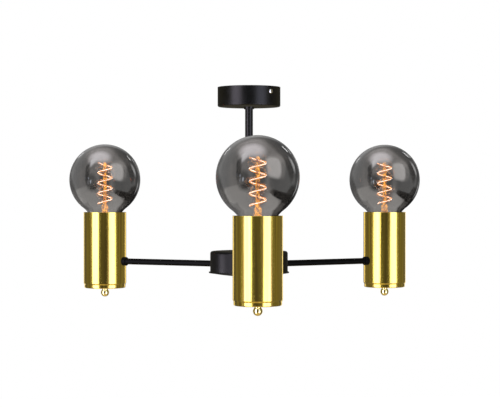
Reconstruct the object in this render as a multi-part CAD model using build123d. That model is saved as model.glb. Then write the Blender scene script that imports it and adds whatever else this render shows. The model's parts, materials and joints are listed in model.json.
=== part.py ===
from build123d import *
import math
import os

# A three-arm ceiling light. The origin is the centre of the ceiling face and +Z points up,
# so every height is negative. Lengths are millimetres, angles are degrees.

# Layout
lamp_count = 3
first_lamp_azimuth = -90.0
arm_reach = 218.0
arm_axis_depth = 226.0

# Threads and standard fasteners; the three shares are a pan head's own proportions
m3_diameter = 3.0
pan_head_diameter = 5.6
pan_head_height = 1.8
pan_crown_share = 0.35
pan_flat_share = 0.5
screw_slot_share = 0.5
screw_slot_width = 0.8
m4_diameter = 4.0
m4_nut_flats = 7.0
m4_nut_height = 3.2
m4_head_diameter = 8.0
m4_head_height = 2.4
m8_nut_flats = 12.0
m8_nut_height = 3.5
m10_nut_flats = 14.0
m10_nut_height = 3.5
nut_chamfer = 0.7
tooth_washer_diameter = 18.0
tooth_washer_height = 0.8
tooth_washer_teeth = 12
tooth_depth = 1.2
thread_end = 1.0

# Clearances, and how far a cutter runs past the face that it opens
hole_clearance = 0.1
canopy_tab_gap = 0.3
wire_gap = 0.4
overcut = 1.0

# Canopy
canopy_diameter = 80.0
canopy_height = 25.0
canopy_wall = 1.0
canopy_edge_radius = 1.8

# Ceiling bracket
bracket_gap = 3.0
bracket_thickness = 1.5
supply_hole_diameter = 14.0
ceiling_slot_edge = 2.5
ceiling_slot_width = 4.5
ceiling_slot_length = 12.0
tab_width = 12.0
tab_depth = 14.0
side_screw_azimuth = -50.0
side_screw_depth = 7.0
side_screw_length = 7.0
earth_screw_offset = 22.0

# Down rod and its collar
rod_diameter = 10.0
rod_bore = 8.0
rod_window_height = 6.0
rod_window_rise = 1.5
rod_collar_diameter = 13.3
rod_collar_height = 3.0
rod_collar_edge = 0.5

# Terminal block under the bracket
block_width = 14.0
block_length = 16.0
block_height = 12.0
block_edge_radius = 1.0
block_offset = 13.0
block_port_depth = 6.0
block_port_level = 6.5
clamp_screw_diameter = 2.2
clamp_head_diameter = 3.6
clamp_head_height = 1.2
clamp_recess_depth = 2.4
clamp_inset = 3.0

# Conductors
wire_diameter = 1.9
lamp_wire_spacing = 2.3
riser_wire_spacing = 5.0
riser_top_bend = 6.0
riser_bottom_bend = 5.0
riser_set_back = 1.2
lead_drop_bend = 7.0
lead_straight = 0.3

# Hub
hub_diameter = 99.0
hub_above_arm = 17.0
hub_below_arm = 9.4
hub_wall = 2.5
hub_edge_radius = 3.0
hub_inner_edge = 0.5
spot_face_diameter = 15.0
cover_lip = 1.7
cover_lip_height = 1.2
cover_dome_depth = 4.5
cover_wall = 1.2
cover_spigot_height = 2.4
cover_seat_diameter = 18.0
cap_nut_diameter = 16.0
cap_nut_flange = 2.0
cap_nut_floor = 2.5
terminal_ring_diameter = 34.0
terminal_ring_height = 9.0
ring_port_depth = 4.0
ring_bore_port_depth = 2.0

# Arms
arm_diameter = 8.0
arm_bore = 6.0
arm_collar_diameter = 11.5
arm_collar_length = 6.0
arm_collar_edge = 0.6

# Lamp cup
cup_diameter = 57.0
cup_wall = 1.0
cup_length = 95.0
arm_below_rim = 65.5
cup_rim_edge = 0.3
base_diameter = 54.8
base_height = 6.5
base_groove_height = 0.8
base_groove_diameter = 53.0
base_edge_radius = 2.0
base_floor = 2.0
base_spigot_height = 5.0
base_spigot_wall = 3.0
ball_diameter = 11.0
ball_centre_below_base = 6.4
ball_neck_diameter = 7.7
ball_neck_height = 1.6

# Holder bracket: a strap bent at a right angle
strap_width = 14.0
strap_thickness = 1.5
strap_bend_radius = 2.0
strap_end_margin = 4.0
strap_nut_gap = 1.0
strap_above_arm = 8.0
lead_slot_width = 7.0
lead_slot_length = 6.0

# Lampholder
barrel_diameter = 39.5
barrel_wall = 2.0
barrel_lip_thickness = 1.5
barrel_lip_clearance = 2.1
barrel_below_cap = 2.5
holder_seam_lap = 2.0
holder_dome_depth = 12.0
holder_neck_diameter = 16.0
holder_neck_floor = 2.5
insert_floor = 3.5
insert_height = 11.0
insert_recess_diameter = 25.2
shell_seat_height = 4.5
shell_clearance = 0.5
shell_wall = 0.4
shell_below_lip = 1.5
leaf_rise = 2.2
leaf_thickness = 0.4
leaf_width = 5.0
leaf_foot = 5.0
leaf_reach = 9.5
contact_gap = 0.3
nipple_bore = 8.0
nipple_in_neck = 7.0
nipple_below_nut = 1.5

# Lamp with its globe
globe_diameter = 95.0
globe_above_rim = 43.5
glass_wall = 0.9
neck_arc_radius = 30.0
neck_diameter = 34.0
shoulder_radius = 3.4
glass_in_cap = 4.0
bulb_cap_diameter = 26.2
bulb_cap_length = 26.5
bulb_cap_wall = 0.4
cap_shell_length = 22.0
cap_cone_diameter = 10.5
tip_height = 1.5
tip_diameter = 9.6

# Stem and filament, placed from the globe's centre
stem_diameter = 8.7
stem_top_below_centre = 35.0
stem_taper = 2.5
flare_height = 14.0
flare_rim = 1.0
post_diameter = 4.9
post_top_above_centre = 24.0
filament_diameter = 19.5
filament_wire = 1.9
filament_pitch = 13.9
filament_turns = 4
filament_middle_below_centre = 4.8
filament_start_angle = 175.0
lead_in_diameter = 0.8
lead_in_run = 3.0

# Places that follow from the sizes above
arm_axis_z = -arm_axis_depth
rim_z = arm_axis_z + arm_below_rim
cup_bottom_z = rim_z - cup_length
base_underside_z = cup_bottom_z - base_height
base_floor_z = base_underside_z + base_floor
ball_centre_z = base_underside_z - ball_centre_below_base
ball_neck_z = base_underside_z - ball_neck_height
cup_inner_radius = cup_diameter / 2 - cup_wall

hub_radius = hub_diameter / 2
hub_inner_radius = hub_radius - hub_wall
hub_top_z = arm_axis_z + hub_above_arm
hub_ceiling_z = hub_top_z - hub_wall
hub_rim_z = arm_axis_z - hub_below_arm
cover_lip_z = hub_rim_z - cover_lip_height
cover_seat_z = cover_lip_z - cover_dome_depth
cap_nut_bore_z = cover_seat_z - cap_nut_diameter / 2 - cap_nut_flange + cap_nut_floor
rod_bottom_z = cap_nut_bore_z + hole_clearance

canopy_floor_z = -canopy_height + canopy_wall
bracket_radius = canopy_diameter / 2 - canopy_wall - bracket_gap
ceiling_slot_x = bracket_radius - ceiling_slot_edge - ceiling_slot_length / 2
rod_top_z = canopy_floor_z + tooth_washer_height + m10_nut_height + thread_end
bracket_underside_z = -bracket_thickness
block_port_z = bracket_underside_z - block_port_level
block_bottom_z = bracket_underside_z - block_height
block_middle_y = block_offset + block_length / 2
clamp_recess_z = block_bottom_z + clamp_recess_depth
tab_face_radius = math.sqrt((canopy_diameter / 2 - canopy_wall - canopy_tab_gap) ** 2 - (tab_width / 2) ** 2)

arm_inner_end = hub_inner_radius - m8_nut_height - thread_end
strap_face_x = arm_reach - math.sqrt(cup_inner_radius**2 - (strap_width / 2) ** 2)
strap_inner_x = strap_face_x + strap_thickness
arm_outer_end = strap_inner_x + m8_nut_height + thread_end
strap_leg_z = arm_axis_z - m8_nut_flats / 2 - strap_nut_gap
strap_bottom_z = strap_leg_z - strap_thickness
nipple_bottom_z = strap_bottom_z - m10_nut_height - nipple_below_nut

globe_radius = globe_diameter / 2
globe_centre_z = rim_z + globe_above_rim
neck_radius = neck_diameter / 2
neck_arc_x = neck_radius + neck_arc_radius
neck_z = globe_centre_z - math.sqrt((globe_radius + neck_arc_radius) ** 2 - neck_arc_x**2)
bulb_cap_top_z = neck_z - shoulder_radius
bulb_tip_z = bulb_cap_top_z - bulb_cap_length
bulb_cap_radius = bulb_cap_diameter / 2
glass_foot_radius = bulb_cap_radius - bulb_cap_wall

leaf_top_z = bulb_tip_z - contact_gap
insert_floor_z = leaf_top_z - leaf_rise
insert_bottom_z = insert_floor_z - insert_floor
holder_seam_z = insert_bottom_z + holder_seam_lap
barrel_top_z = bulb_cap_top_z - barrel_below_cap
barrel_radius = barrel_diameter / 2
barrel_inner_radius = barrel_radius - barrel_wall
shell_radius = bulb_cap_radius + shell_clearance
holder_neck_z = insert_bottom_z - holder_dome_depth

stem_top_z = globe_centre_z - stem_top_below_centre
post_top_z = globe_centre_z + post_top_above_centre
filament_height = filament_pitch * filament_turns
filament_start_z = globe_centre_z - filament_middle_below_centre - filament_height / 2

lamp_azimuths = [first_lamp_azimuth + 360.0 / lamp_count * i for i in range(lamp_count)]
lamp_axis_points = [
    (arm_reach * math.cos(math.radians(a)), arm_reach * math.sin(math.radians(a)), 0.0) for a in lamp_azimuths
]


# Helpers

quarter_turn = 90.0


def turned(*edges):
    """Revolve a closed outline about Z; its points are (radius, height)."""
    return revolve(Plane.XZ * make_face(edges), Axis.Z)


def outline(*points):
    """A closed outline of straight lines through (radius, height) points."""
    return Polyline(*points, close=True)


def ring(outer_radius, inner_radius, low, high):
    """A plain ring about Z from the height low to the height high."""
    return turned(outline((inner_radius, low), (outer_radius, low), (outer_radius, high), (inner_radius, high)))


def arc_about_axis(start, end):
    """The arc from start to end, (radius, height) points, of a circle whose centre is on Z."""
    (r1, z1), (r2, z2) = start, end
    centre = (r2**2 - r1**2 + z2**2 - z1**2) / (2 * (z2 - z1))
    radius = math.hypot(r1, z1 - centre)
    middle = (math.atan2(z1 - centre, r1) + math.atan2(z2 - centre, r2)) / 2
    return ThreePointArc(start, (radius * math.cos(middle), centre + radius * math.sin(middle)), end)


def arc(centre, radius, start_angle, end_angle):
    """An arc of less than a half circle about a centre, between two directions."""
    points = []
    for angle in (start_angle, (start_angle + end_angle) / 2, end_angle):
        turn = math.radians(angle)
        points.append((centre[0] + radius * math.cos(turn), centre[1] + radius * math.sin(turn)))
    return ThreePointArc(*points)


def pin(radius, low, high):
    """A cylinder on Z from the height low to the height high."""
    return Pos(0, 0, low) * Cylinder(radius, high - low, align=(Align.CENTER, Align.CENTER, Align.MIN))


def hex_nut(flats, height, bore_radius):
    """A nut on Z, from 0 up, with two of its flats facing along X."""
    corner = flats / math.sqrt(3)
    blank = extrude(RegularPolygon(corner, 6, rotation=30), height)
    chamfer_cone = turned(outline((0, 0), (flats / 2, 0), (corner, nut_chamfer), (corner, height), (0, height)))
    return (blank & chamfer_cone) - pin(bore_radius, -overcut, height + overcut)


def slotted_screw(shank_radius, shank_length, head_radius, head_height):
    """A pan-head screw on Z: its head above 0, its shank below."""
    shoulder = head_height * (1 - pan_crown_share)
    flat = head_radius * pan_flat_share
    head = turned(
        Line((0, 0), (head_radius, 0)),
        Line((head_radius, 0), (head_radius, shoulder)),
        arc_about_axis((head_radius, shoulder), (flat, head_height)),
        Line((flat, head_height), (0, head_height)),
        Line((0, head_height), (0, 0)),
    )
    slot_depth = head_height * screw_slot_share
    slot = Pos(0, 0, head_height - slot_depth / 2) * Box(
        2 * (head_radius + overcut), screw_slot_width, slot_depth
    )
    return (head - slot) + pin(shank_radius, -shank_length, 0)


def toothed_washer():
    """An M10 toothed washer on Z, from 0 up."""
    washer = ring(tooth_washer_diameter / 2, rod_diameter / 2 + hole_clearance, 0, tooth_washer_height)
    for i in range(tooth_washer_teeth):
        notch = Pos(tooth_washer_diameter / 2, 0, tooth_washer_height / 2) * Box(
            2 * tooth_depth, tooth_depth, 2 * tooth_washer_height
        )
        washer -= Rot(0, 0, 360.0 / tooth_washer_teeth * i) * notch
    return washer


def wire_along(path, radius):
    """A round wire along a path, checked against its section times its length."""
    wire = sweep(Plane(origin=path @ 0, z_dir=path % 0) * Circle(radius), path=path)
    expected = math.pi * radius**2 * path.length
    print(f"wire of radius {radius:.2f}: length {path.length:.1f} mm, volume/expected {wire.volume / expected:.4f}")
    return wire


def at_lamp(shape):
    """Move a shape made on Z to the lamp axis of the arm that points along +X."""
    return Pos(arm_reach, 0, 0) * shape


def on_arm(shape, x):
    """Turn a shape made on Z to lie along +X on the arm's axis, its origin at x."""
    return Pos(x, 0, arm_axis_z) * Rot(0, 90, 0) * shape


def around(shape):
    """One copy of a shape for each lamp, turned from +X to the lamp's azimuth."""
    return [Rot(0, 0, azimuth) * shape for azimuth in lamp_azimuths]


# Ceiling bracket, canopy and their fasteners


def ceiling_bracket():
    plate = pin(bracket_radius, bracket_underside_z, 0)
    tab = Pos(tab_face_radius / 2, 0, bracket_underside_z / 2) * Box(
        tab_face_radius, tab_width, bracket_thickness
    )
    tab += Pos(tab_face_radius - bracket_thickness / 2, 0, -tab_depth / 2) * Box(
        bracket_thickness, tab_width, tab_depth
    )
    outer_bend = tab.edges().filter_by(Axis.Y).sort_by(lambda e: e.center().X + e.center().Z)[-1]
    tab = fillet(outer_bend, bracket_thickness)
    tab -= Pos(tab_face_radius, 0, -side_screw_depth) * Rot(0, 90, 0) * Cylinder(
        m3_diameter / 2, 2 * (bracket_thickness + overcut)
    )
    for azimuth in (side_screw_azimuth, side_screw_azimuth + 180):
        plate += Rot(0, 0, azimuth) * tab
    low = bracket_underside_z - overcut
    plate -= pin(supply_hole_diameter / 2, low, overcut)
    plate -= Pos(0, -earth_screw_offset, 0) * pin(m4_diameter / 2, low, overcut)
    plate -= Pos(0, block_middle_y, 0) * pin(m3_diameter / 2, low, overcut)
    slot = extrude(SlotOverall(ceiling_slot_length, ceiling_slot_width), overcut - low)
    for side in (-1, 1):
        plate -= Pos(side * ceiling_slot_x, 0, low) * slot
    return plate


def canopy():
    outer = canopy_diameter / 2
    inner = outer - canopy_wall
    hole = rod_diameter / 2 + hole_clearance
    inner_edge = canopy_edge_radius - canopy_wall
    shell = turned(
        Line((hole, -canopy_height), (outer - canopy_edge_radius, -canopy_height)),
        arc((outer - canopy_edge_radius, -canopy_height + canopy_edge_radius), canopy_edge_radius, -90, 0),
        Line((outer, -canopy_height + canopy_edge_radius), (outer, 0)),
        Line((outer, 0), (inner, 0)),
        Line((inner, 0), (inner, canopy_floor_z + inner_edge)),
        arc((inner - inner_edge, canopy_floor_z + inner_edge), inner_edge, 0, -90),
        Line((inner - inner_edge, canopy_floor_z), (hole, canopy_floor_z)),
        Line((hole, canopy_floor_z), (hole, -canopy_height)),
    )
    for azimuth in (side_screw_azimuth, side_screw_azimuth + 180):
        hole_cutter = Pos(outer, 0, -side_screw_depth) * Rot(0, 90, 0) * Cylinder(
            m3_diameter / 2 + hole_clearance, 2 * (canopy_wall + overcut)
        )
        shell -= Rot(0, 0, azimuth) * hole_cutter
    return shell


def canopy_screws():
    screw = slotted_screw(m3_diameter / 2, side_screw_length, pan_head_diameter / 2, pan_head_height)
    placed = Pos(canopy_diameter / 2, 0, -side_screw_depth) * Rot(0, 90, 0) * screw
    return [Rot(0, 0, azimuth) * placed for azimuth in (side_screw_azimuth, side_screw_azimuth + 180)]


def clamp_places():
    """The (x, y) places of the block's four clamp screws, two over each conductor."""
    ends = (block_offset + clamp_inset, block_offset + block_length - clamp_inset)
    return [(side * riser_wire_spacing / 2, y) for side in (-1, 1) for y in ends]


def terminal_block():
    block = Pos(0, block_middle_y, bracket_underside_z - block_height / 2) * Box(
        block_width, block_length, block_height
    )
    block = fillet(block.edges().filter_by(Axis.Z), block_edge_radius)
    low = block_bottom_z - overcut
    port = pin(wire_diameter / 2, -overcut, block_port_depth)
    clamp_hole = pin(clamp_screw_diameter / 2, low, block_port_z)
    clamp_hole += pin(clamp_head_diameter / 2 + hole_clearance, low, clamp_recess_z)
    for x, y in clamp_places():
        block -= Pos(x, y, 0) * clamp_hole
    for side in (-1, 1):
        x = side * riser_wire_spacing / 2
        block -= Pos(x, block_offset, block_port_z) * Rot(-90, 0, 0) * port
        block -= Pos(x, block_offset + block_length, block_port_z) * Rot(90, 0, 0) * port
    block -= Pos(0, block_middle_y, 0) * pin(m3_diameter / 2, low, overcut)
    return block


def terminal_screws():
    clamp = Rot(180, 0, 0) * slotted_screw(
        clamp_screw_diameter / 2,
        block_port_z - wire_diameter / 2 - clamp_recess_z,
        clamp_head_diameter / 2,
        clamp_head_height,
    )
    screws = [Pos(x, y, clamp_recess_z) * clamp for x, y in clamp_places()]
    fixing = Rot(180, 0, 0) * slotted_screw(
        m3_diameter / 2, block_height + bracket_thickness, pan_head_diameter / 2, pan_head_height
    )
    screws.append(Pos(0, block_middle_y, block_bottom_z) * fixing)
    earth = Rot(180, 0, 0) * slotted_screw(m4_diameter / 2, bracket_thickness, m4_head_diameter / 2, m4_head_height)
    screws.append(Pos(0, -earth_screw_offset, bracket_underside_z) * earth)
    return screws


# Down rod, its fasteners and the riser conductors


def down_rod():
    rod = ring(rod_diameter / 2, rod_bore / 2, rod_bottom_z, rod_top_z)
    window_width = riser_wire_spacing + wire_diameter + 2 * wire_gap
    window = Pos(0, rod_diameter / 2, arm_axis_z + rod_window_rise) * Box(
        window_width, rod_diameter, rod_window_height
    )
    return rod - window


def rod_collar():
    collar = ring(rod_collar_diameter / 2, rod_diameter / 2, -canopy_height - rod_collar_height, -canopy_height)
    lower_edge = collar.edges().group_by(Axis.Z)[0].sort_by(lambda e: e.length)[-1]
    return fillet(lower_edge, rod_collar_edge)


def locknuts_m10():
    nut = hex_nut(m10_nut_flats, m10_nut_height, rod_diameter / 2)
    nuts = [
        Pos(0, 0, canopy_floor_z + tooth_washer_height) * nut,
        Pos(0, 0, hub_ceiling_z - tooth_washer_height) * Rot(180, 0, 0) * nut,
    ]
    return nuts + around(at_lamp(Pos(0, 0, strap_bottom_z) * Rot(180, 0, 0) * nut))


def tooth_washers():
    return [
        Pos(0, 0, canopy_floor_z) * toothed_washer(),
        Pos(0, 0, hub_ceiling_z - tooth_washer_height) * toothed_washer(),
    ]


def riser_leads():
    points = [
        (rod_diameter / 2 + ring_bore_port_depth, arm_axis_z),
        (-riser_set_back, arm_axis_z),
        (-riser_set_back, block_port_z),
        (block_offset + block_port_depth, block_port_z),
    ]
    path = FilletPolyline(*points, radius=[riser_bottom_bend, riser_top_bend])
    print(f"riser bends: {riser_bottom_bend:.1f} and {riser_top_bend:.1f} mm")
    wires = []
    for side in (-1, 1):
        wires.append(wire_along(Plane.YZ.offset(side * riser_wire_spacing / 2) * path, wire_diameter / 2))
    return wires


# Hub


def hub_cup():
    cup = turned(
        Line((rod_diameter / 2, hub_top_z), (hub_radius - hub_edge_radius, hub_top_z)),
        arc((hub_radius - hub_edge_radius, hub_top_z - hub_edge_radius), hub_edge_radius, 90, 0),
        Line((hub_radius, hub_top_z - hub_edge_radius), (hub_radius, hub_rim_z)),
        Line((hub_radius, hub_rim_z), (hub_inner_radius, hub_rim_z)),
        Line((hub_inner_radius, hub_rim_z), (hub_inner_radius, hub_ceiling_z - hub_inner_edge)),
        arc((hub_inner_radius - hub_inner_edge, hub_ceiling_z - hub_inner_edge), hub_inner_edge, 0, 90),
        Line((hub_inner_radius - hub_inner_edge, hub_ceiling_z), (rod_diameter / 2, hub_ceiling_z)),
        Line((rod_diameter / 2, hub_ceiling_z), (rod_diameter / 2, hub_top_z)),
    )
    arm_hole = on_arm(pin(arm_diameter / 2, 0, hub_radius), hub_radius / 2)
    spot_face = on_arm(pin(spot_face_diameter / 2, 0, hub_inner_radius / 2), hub_inner_radius / 2)
    for cutter in around(arm_hole + spot_face):
        cup -= cutter
    return cup


def hub_cover():
    spigot_inner = hub_inner_radius - cover_wall
    hole = rod_diameter / 2 + hole_clearance
    seat = cover_seat_diameter / 2
    lip_radius = hub_radius + cover_lip
    dome_rim = lip_radius - cover_wall
    return turned(
        Line((hub_inner_radius, hub_rim_z + cover_spigot_height), (hub_inner_radius, hub_rim_z)),
        Line((hub_inner_radius, hub_rim_z), (lip_radius, hub_rim_z)),
        Line((lip_radius, hub_rim_z), (lip_radius, cover_lip_z)),
        Line((lip_radius, cover_lip_z), (dome_rim, cover_lip_z)),
        arc_about_axis((dome_rim, cover_lip_z), (seat, cover_seat_z)),
        Line((seat, cover_seat_z), (hole, cover_seat_z)),
        Line((hole, cover_seat_z), (hole, cover_seat_z + cover_wall)),
        Line((hole, cover_seat_z + cover_wall), (seat, cover_seat_z + cover_wall)),
        arc_about_axis((seat, cover_seat_z + cover_wall), (spigot_inner, cover_lip_z + cover_wall)),
        Line((spigot_inner, cover_lip_z + cover_wall), (spigot_inner, hub_rim_z + cover_spigot_height)),
        Line((spigot_inner, hub_rim_z + cover_spigot_height), (hub_inner_radius, hub_rim_z + cover_spigot_height)),
    )


def hub_cap_nut():
    radius = cap_nut_diameter / 2
    flange_z = cover_seat_z - cap_nut_flange
    return turned(
        Line((rod_diameter / 2, cover_seat_z), (radius, cover_seat_z)),
        Line((radius, cover_seat_z), (radius, flange_z)),
        arc((0, flange_z), radius, 0, -90),
        Line((0, flange_z - radius), (0, cap_nut_bore_z)),
        Line((0, cap_nut_bore_z), (rod_diameter / 2, cap_nut_bore_z)),
        Line((rod_diameter / 2, cap_nut_bore_z), (rod_diameter / 2, cover_seat_z)),
    )


def terminal_ring():
    half = terminal_ring_height / 2
    radius = terminal_ring_diameter / 2
    body = ring(radius, rod_diameter / 2, arm_axis_z - half, arm_axis_z + half)
    for side in (-1, 1):
        lamp_port = on_arm(pin(wire_diameter / 2, 0, ring_port_depth + overcut), radius - ring_port_depth)
        for port in around(Pos(0, side * lamp_wire_spacing / 2, 0) * lamp_port):
            body -= port
        body -= Pos(side * riser_wire_spacing / 2, 0, arm_axis_z) * Rot(-90, 0, 0) * pin(
            wire_diameter / 2, 0, rod_diameter / 2 + ring_bore_port_depth
        )
    return body


# Arms


def arm():
    length = arm_outer_end - arm_inner_end
    tube = pin(arm_diameter / 2, 0, length) - pin(arm_bore / 2, -overcut, length + overcut)
    return on_arm(tube, arm_inner_end)


def arm_collars():
    collar = pin(arm_collar_diameter / 2, -arm_collar_length, 0)
    collar = fillet(collar.edges().filter_by(GeomType.CIRCLE), arm_collar_edge)
    collar -= pin(arm_diameter / 2, -arm_collar_length - overcut, overcut)
    return around(on_arm(collar, arm_reach - cup_diameter / 2))


def locknuts_m8():
    nut = hex_nut(m8_nut_flats, m8_nut_height, arm_diameter / 2)
    hub_nut = on_arm(Rot(180, 0, 0) * nut, hub_inner_radius)
    cup_nut = on_arm(nut, strap_inner_x)
    return around(hub_nut) + around(cup_nut)


def lamp_leads():
    drop_x = arm_outer_end + lead_drop_bend
    turn_radius = (arm_reach - drop_x - lead_straight) / 2
    turn_z = nipple_bottom_z - wire_diameter - turn_radius
    points = [
        (terminal_ring_diameter / 2 - ring_port_depth, arm_axis_z),
        (drop_x, arm_axis_z),
        (drop_x, turn_z),
        (arm_reach, turn_z),
        (arm_reach, insert_bottom_z),
    ]
    print(f"lamp lead bends: {lead_drop_bend:.1f} and {turn_radius:.1f} mm")
    path = FilletPolyline(*points, radius=[lead_drop_bend, turn_radius, turn_radius])
    leads = []
    for side in (-1, 1):
        leads += around(wire_along(Plane.XZ.offset(side * lamp_wire_spacing / 2) * path, wire_diameter / 2))
    return leads


# Lamp cups


def cup_tube():
    outer = cup_diameter / 2
    tube = ring(outer, cup_inner_radius, cup_bottom_z, rim_z)
    tube = fillet(tube.edges().group_by(Axis.Z)[-1], cup_rim_edge)
    arm_hole = pin(arm_diameter / 2 + hole_clearance, -overcut, cup_wall + overcut)
    return at_lamp(tube) - on_arm(arm_hole, arm_reach - outer)


def cup_base():
    outer = base_diameter / 2
    groove = base_groove_diameter / 2
    spigot_top = cup_bottom_z + base_spigot_height
    spigot_inner = cup_inner_radius - base_spigot_wall
    groove_z = cup_bottom_z - base_groove_height
    base = turned(
        Line((m4_diameter / 2, base_underside_z), (outer - base_edge_radius, base_underside_z)),
        arc((outer - base_edge_radius, base_underside_z + base_edge_radius), base_edge_radius, -90, 0),
        Line((outer, base_underside_z + base_edge_radius), (outer, groove_z)),
        Line((outer, groove_z), (groove, groove_z)),
        Line((groove, groove_z), (groove, cup_bottom_z)),
        Line((groove, cup_bottom_z), (cup_inner_radius, cup_bottom_z)),
        Line((cup_inner_radius, cup_bottom_z), (cup_inner_radius, spigot_top)),
        Line((cup_inner_radius, spigot_top), (spigot_inner, spigot_top)),
        Line((spigot_inner, spigot_top), (spigot_inner, base_floor_z)),
        Line((spigot_inner, base_floor_z), (m4_diameter / 2, base_floor_z)),
        Line((m4_diameter / 2, base_floor_z), (m4_diameter / 2, base_underside_z)),
    )
    return at_lamp(base)


def ball_finial():
    ball = Pos(0, 0, ball_centre_z) * Sphere(ball_diameter / 2)
    ball -= pin(ball_diameter, ball_neck_z, base_underside_z + ball_diameter)
    neck = pin(ball_neck_diameter / 2, ball_centre_z, base_underside_z)
    stud = pin(m4_diameter / 2, ball_centre_z, base_floor_z + m4_nut_height + thread_end)
    return at_lamp(ball + neck + stud)


def finial_nuts():
    return around(at_lamp(Pos(0, 0, base_floor_z) * hex_nut(m4_nut_flats, m4_nut_height, m4_diameter / 2)))


def holder_brackets():
    leg_top = arm_axis_z + strap_above_arm
    leg_end = arm_reach + rod_diameter / 2 + strap_end_margin
    leg = Pos((strap_face_x + strap_inner_x) / 2, 0, (leg_top + strap_bottom_z) / 2) * Box(
        strap_thickness, strap_width, leg_top - strap_bottom_z
    )
    foot = Pos((strap_face_x + leg_end) / 2, 0, (strap_leg_z + strap_bottom_z) / 2) * Box(
        leg_end - strap_face_x, strap_width, strap_thickness
    )
    strap = leg + foot
    outer_bend = strap.edges().filter_by(Axis.Y).sort_by(lambda e: e.center().X + e.center().Z)[0]
    strap = fillet(outer_bend, strap_bend_radius)
    strap -= on_arm(pin(arm_diameter / 2, -overcut, strap_thickness + overcut), strap_face_x)
    strap -= at_lamp(pin(rod_diameter / 2, strap_bottom_z - overcut, strap_leg_z + overcut))
    slot_x = arm_outer_end + lead_drop_bend
    strap -= Pos(slot_x, 0, strap_bottom_z) * Box(
        lead_slot_length, lead_slot_width, 2 * (strap_thickness + overcut)
    )
    return around(strap)


# Lampholders


def lampholder_barrel():
    lip_radius = bulb_cap_radius + barrel_lip_clearance
    barrel = turned(
        outline(
            (barrel_radius, holder_seam_z),
            (barrel_radius, barrel_top_z),
            (lip_radius, barrel_top_z),
            (lip_radius, barrel_top_z - barrel_lip_thickness),
            (barrel_inner_radius, barrel_top_z - barrel_lip_thickness),
            (barrel_inner_radius, holder_seam_z),
        )
    )
    return at_lamp(barrel)


def lampholder_cap():
    neck = holder_neck_diameter / 2
    inner_neck_z = holder_neck_z + barrel_wall
    ledge = barrel_inner_radius - barrel_wall
    floor_radius = neck + holder_neck_floor
    cap = turned(
        Line((barrel_radius, holder_seam_z), (barrel_radius, insert_bottom_z)),
        EllipticalCenterArc(
            (neck, insert_bottom_z), barrel_radius - neck, holder_dome_depth, -quarter_turn, arc_size=quarter_turn
        ),
        Line((neck, holder_neck_z), (neck, strap_leg_z)),
        Line((neck, strap_leg_z), (rod_diameter / 2, strap_leg_z)),
        Line((rod_diameter / 2, strap_leg_z), (rod_diameter / 2, inner_neck_z)),
        Line((rod_diameter / 2, inner_neck_z), (floor_radius, inner_neck_z)),
        Line((floor_radius, inner_neck_z), (ledge, insert_bottom_z)),
        Line((ledge, insert_bottom_z), (barrel_inner_radius, insert_bottom_z)),
        Line((barrel_inner_radius, insert_bottom_z), (barrel_inner_radius, holder_seam_z)),
        Line((barrel_inner_radius, holder_seam_z), (barrel_radius, holder_seam_z)),
    )
    return at_lamp(cap)


def holder_inserts():
    recess = insert_recess_diameter / 2
    shell_outer = shell_radius + shell_wall
    seat_z = insert_floor_z + shell_seat_height
    top_z = insert_bottom_z + insert_height
    insert = turned(
        outline(
            (0, insert_bottom_z),
            (barrel_inner_radius, insert_bottom_z),
            (barrel_inner_radius, top_z),
            (shell_outer, top_z),
            (shell_outer, seat_z),
            (recess, seat_z),
            (recess, insert_floor_z),
            (0, insert_floor_z),
        )
    )
    return around(at_lamp(insert))


def holder_shells():
    seat_z = insert_floor_z + shell_seat_height
    top_z = barrel_top_z - barrel_lip_thickness - shell_below_lip
    return around(at_lamp(ring(shell_radius + shell_wall, shell_radius, seat_z, top_z)))


def holder_contacts():
    foot_z = insert_floor_z
    leaf = make_face(
        outline(
            (leaf_reach, foot_z),
            (leaf_reach, foot_z + leaf_thickness),
            (leaf_foot, foot_z + leaf_thickness),
            (leaf_foot / 2, leaf_top_z),
            (-leaf_foot / 2, leaf_top_z),
            (-leaf_foot / 2, leaf_top_z - leaf_thickness),
            (leaf_foot / 2 - leaf_thickness, leaf_top_z - leaf_thickness),
            (leaf_foot - leaf_thickness, foot_z),
        )
    )
    return around(at_lamp(extrude(Plane.XZ * leaf, leaf_width / 2, both=True)))


def holder_nipples():
    nipple = ring(rod_diameter / 2, nipple_bore / 2, nipple_bottom_z, strap_leg_z + nipple_in_neck)
    return around(at_lamp(nipple))


# Lamps: these are made on Z and then moved, unturned, to each lamp axis


def glass_outline(wall):
    """The globe's outline from its foot to its pole, drawn in by a wall."""
    touch = math.degrees(math.atan2(globe_centre_z - neck_z, neck_arc_x))
    foot = glass_foot_radius - wall
    foot_z = bulb_cap_top_z - glass_in_cap
    shoulder = shoulder_radius - wall
    shoulder_x = neck_radius - shoulder_radius
    return [
        Line((foot, foot_z), (foot, bulb_cap_top_z + wall)),
        Line((foot, bulb_cap_top_z + wall), (shoulder_x, bulb_cap_top_z + wall)),
        arc((shoulder_x, neck_z), shoulder, -90, 0),
        arc((neck_arc_x, neck_z), neck_arc_radius + wall, 180, 180 - touch),
        arc((0, globe_centre_z), globe_radius - wall, -touch, 0),
        arc((0, globe_centre_z), globe_radius - wall, 0, quarter_turn),
    ]


def bulb_glass():
    outer = glass_outline(0.0)
    inner = glass_outline(glass_wall)
    foot_z = bulb_cap_top_z - glass_in_cap
    foot = Line((glass_foot_radius, foot_z), (glass_foot_radius - glass_wall, foot_z))
    pole_z = globe_centre_z + globe_radius
    pole = Line((0, pole_z), (0, pole_z - glass_wall))
    return turned(*outer, *inner, foot, pole)


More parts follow.
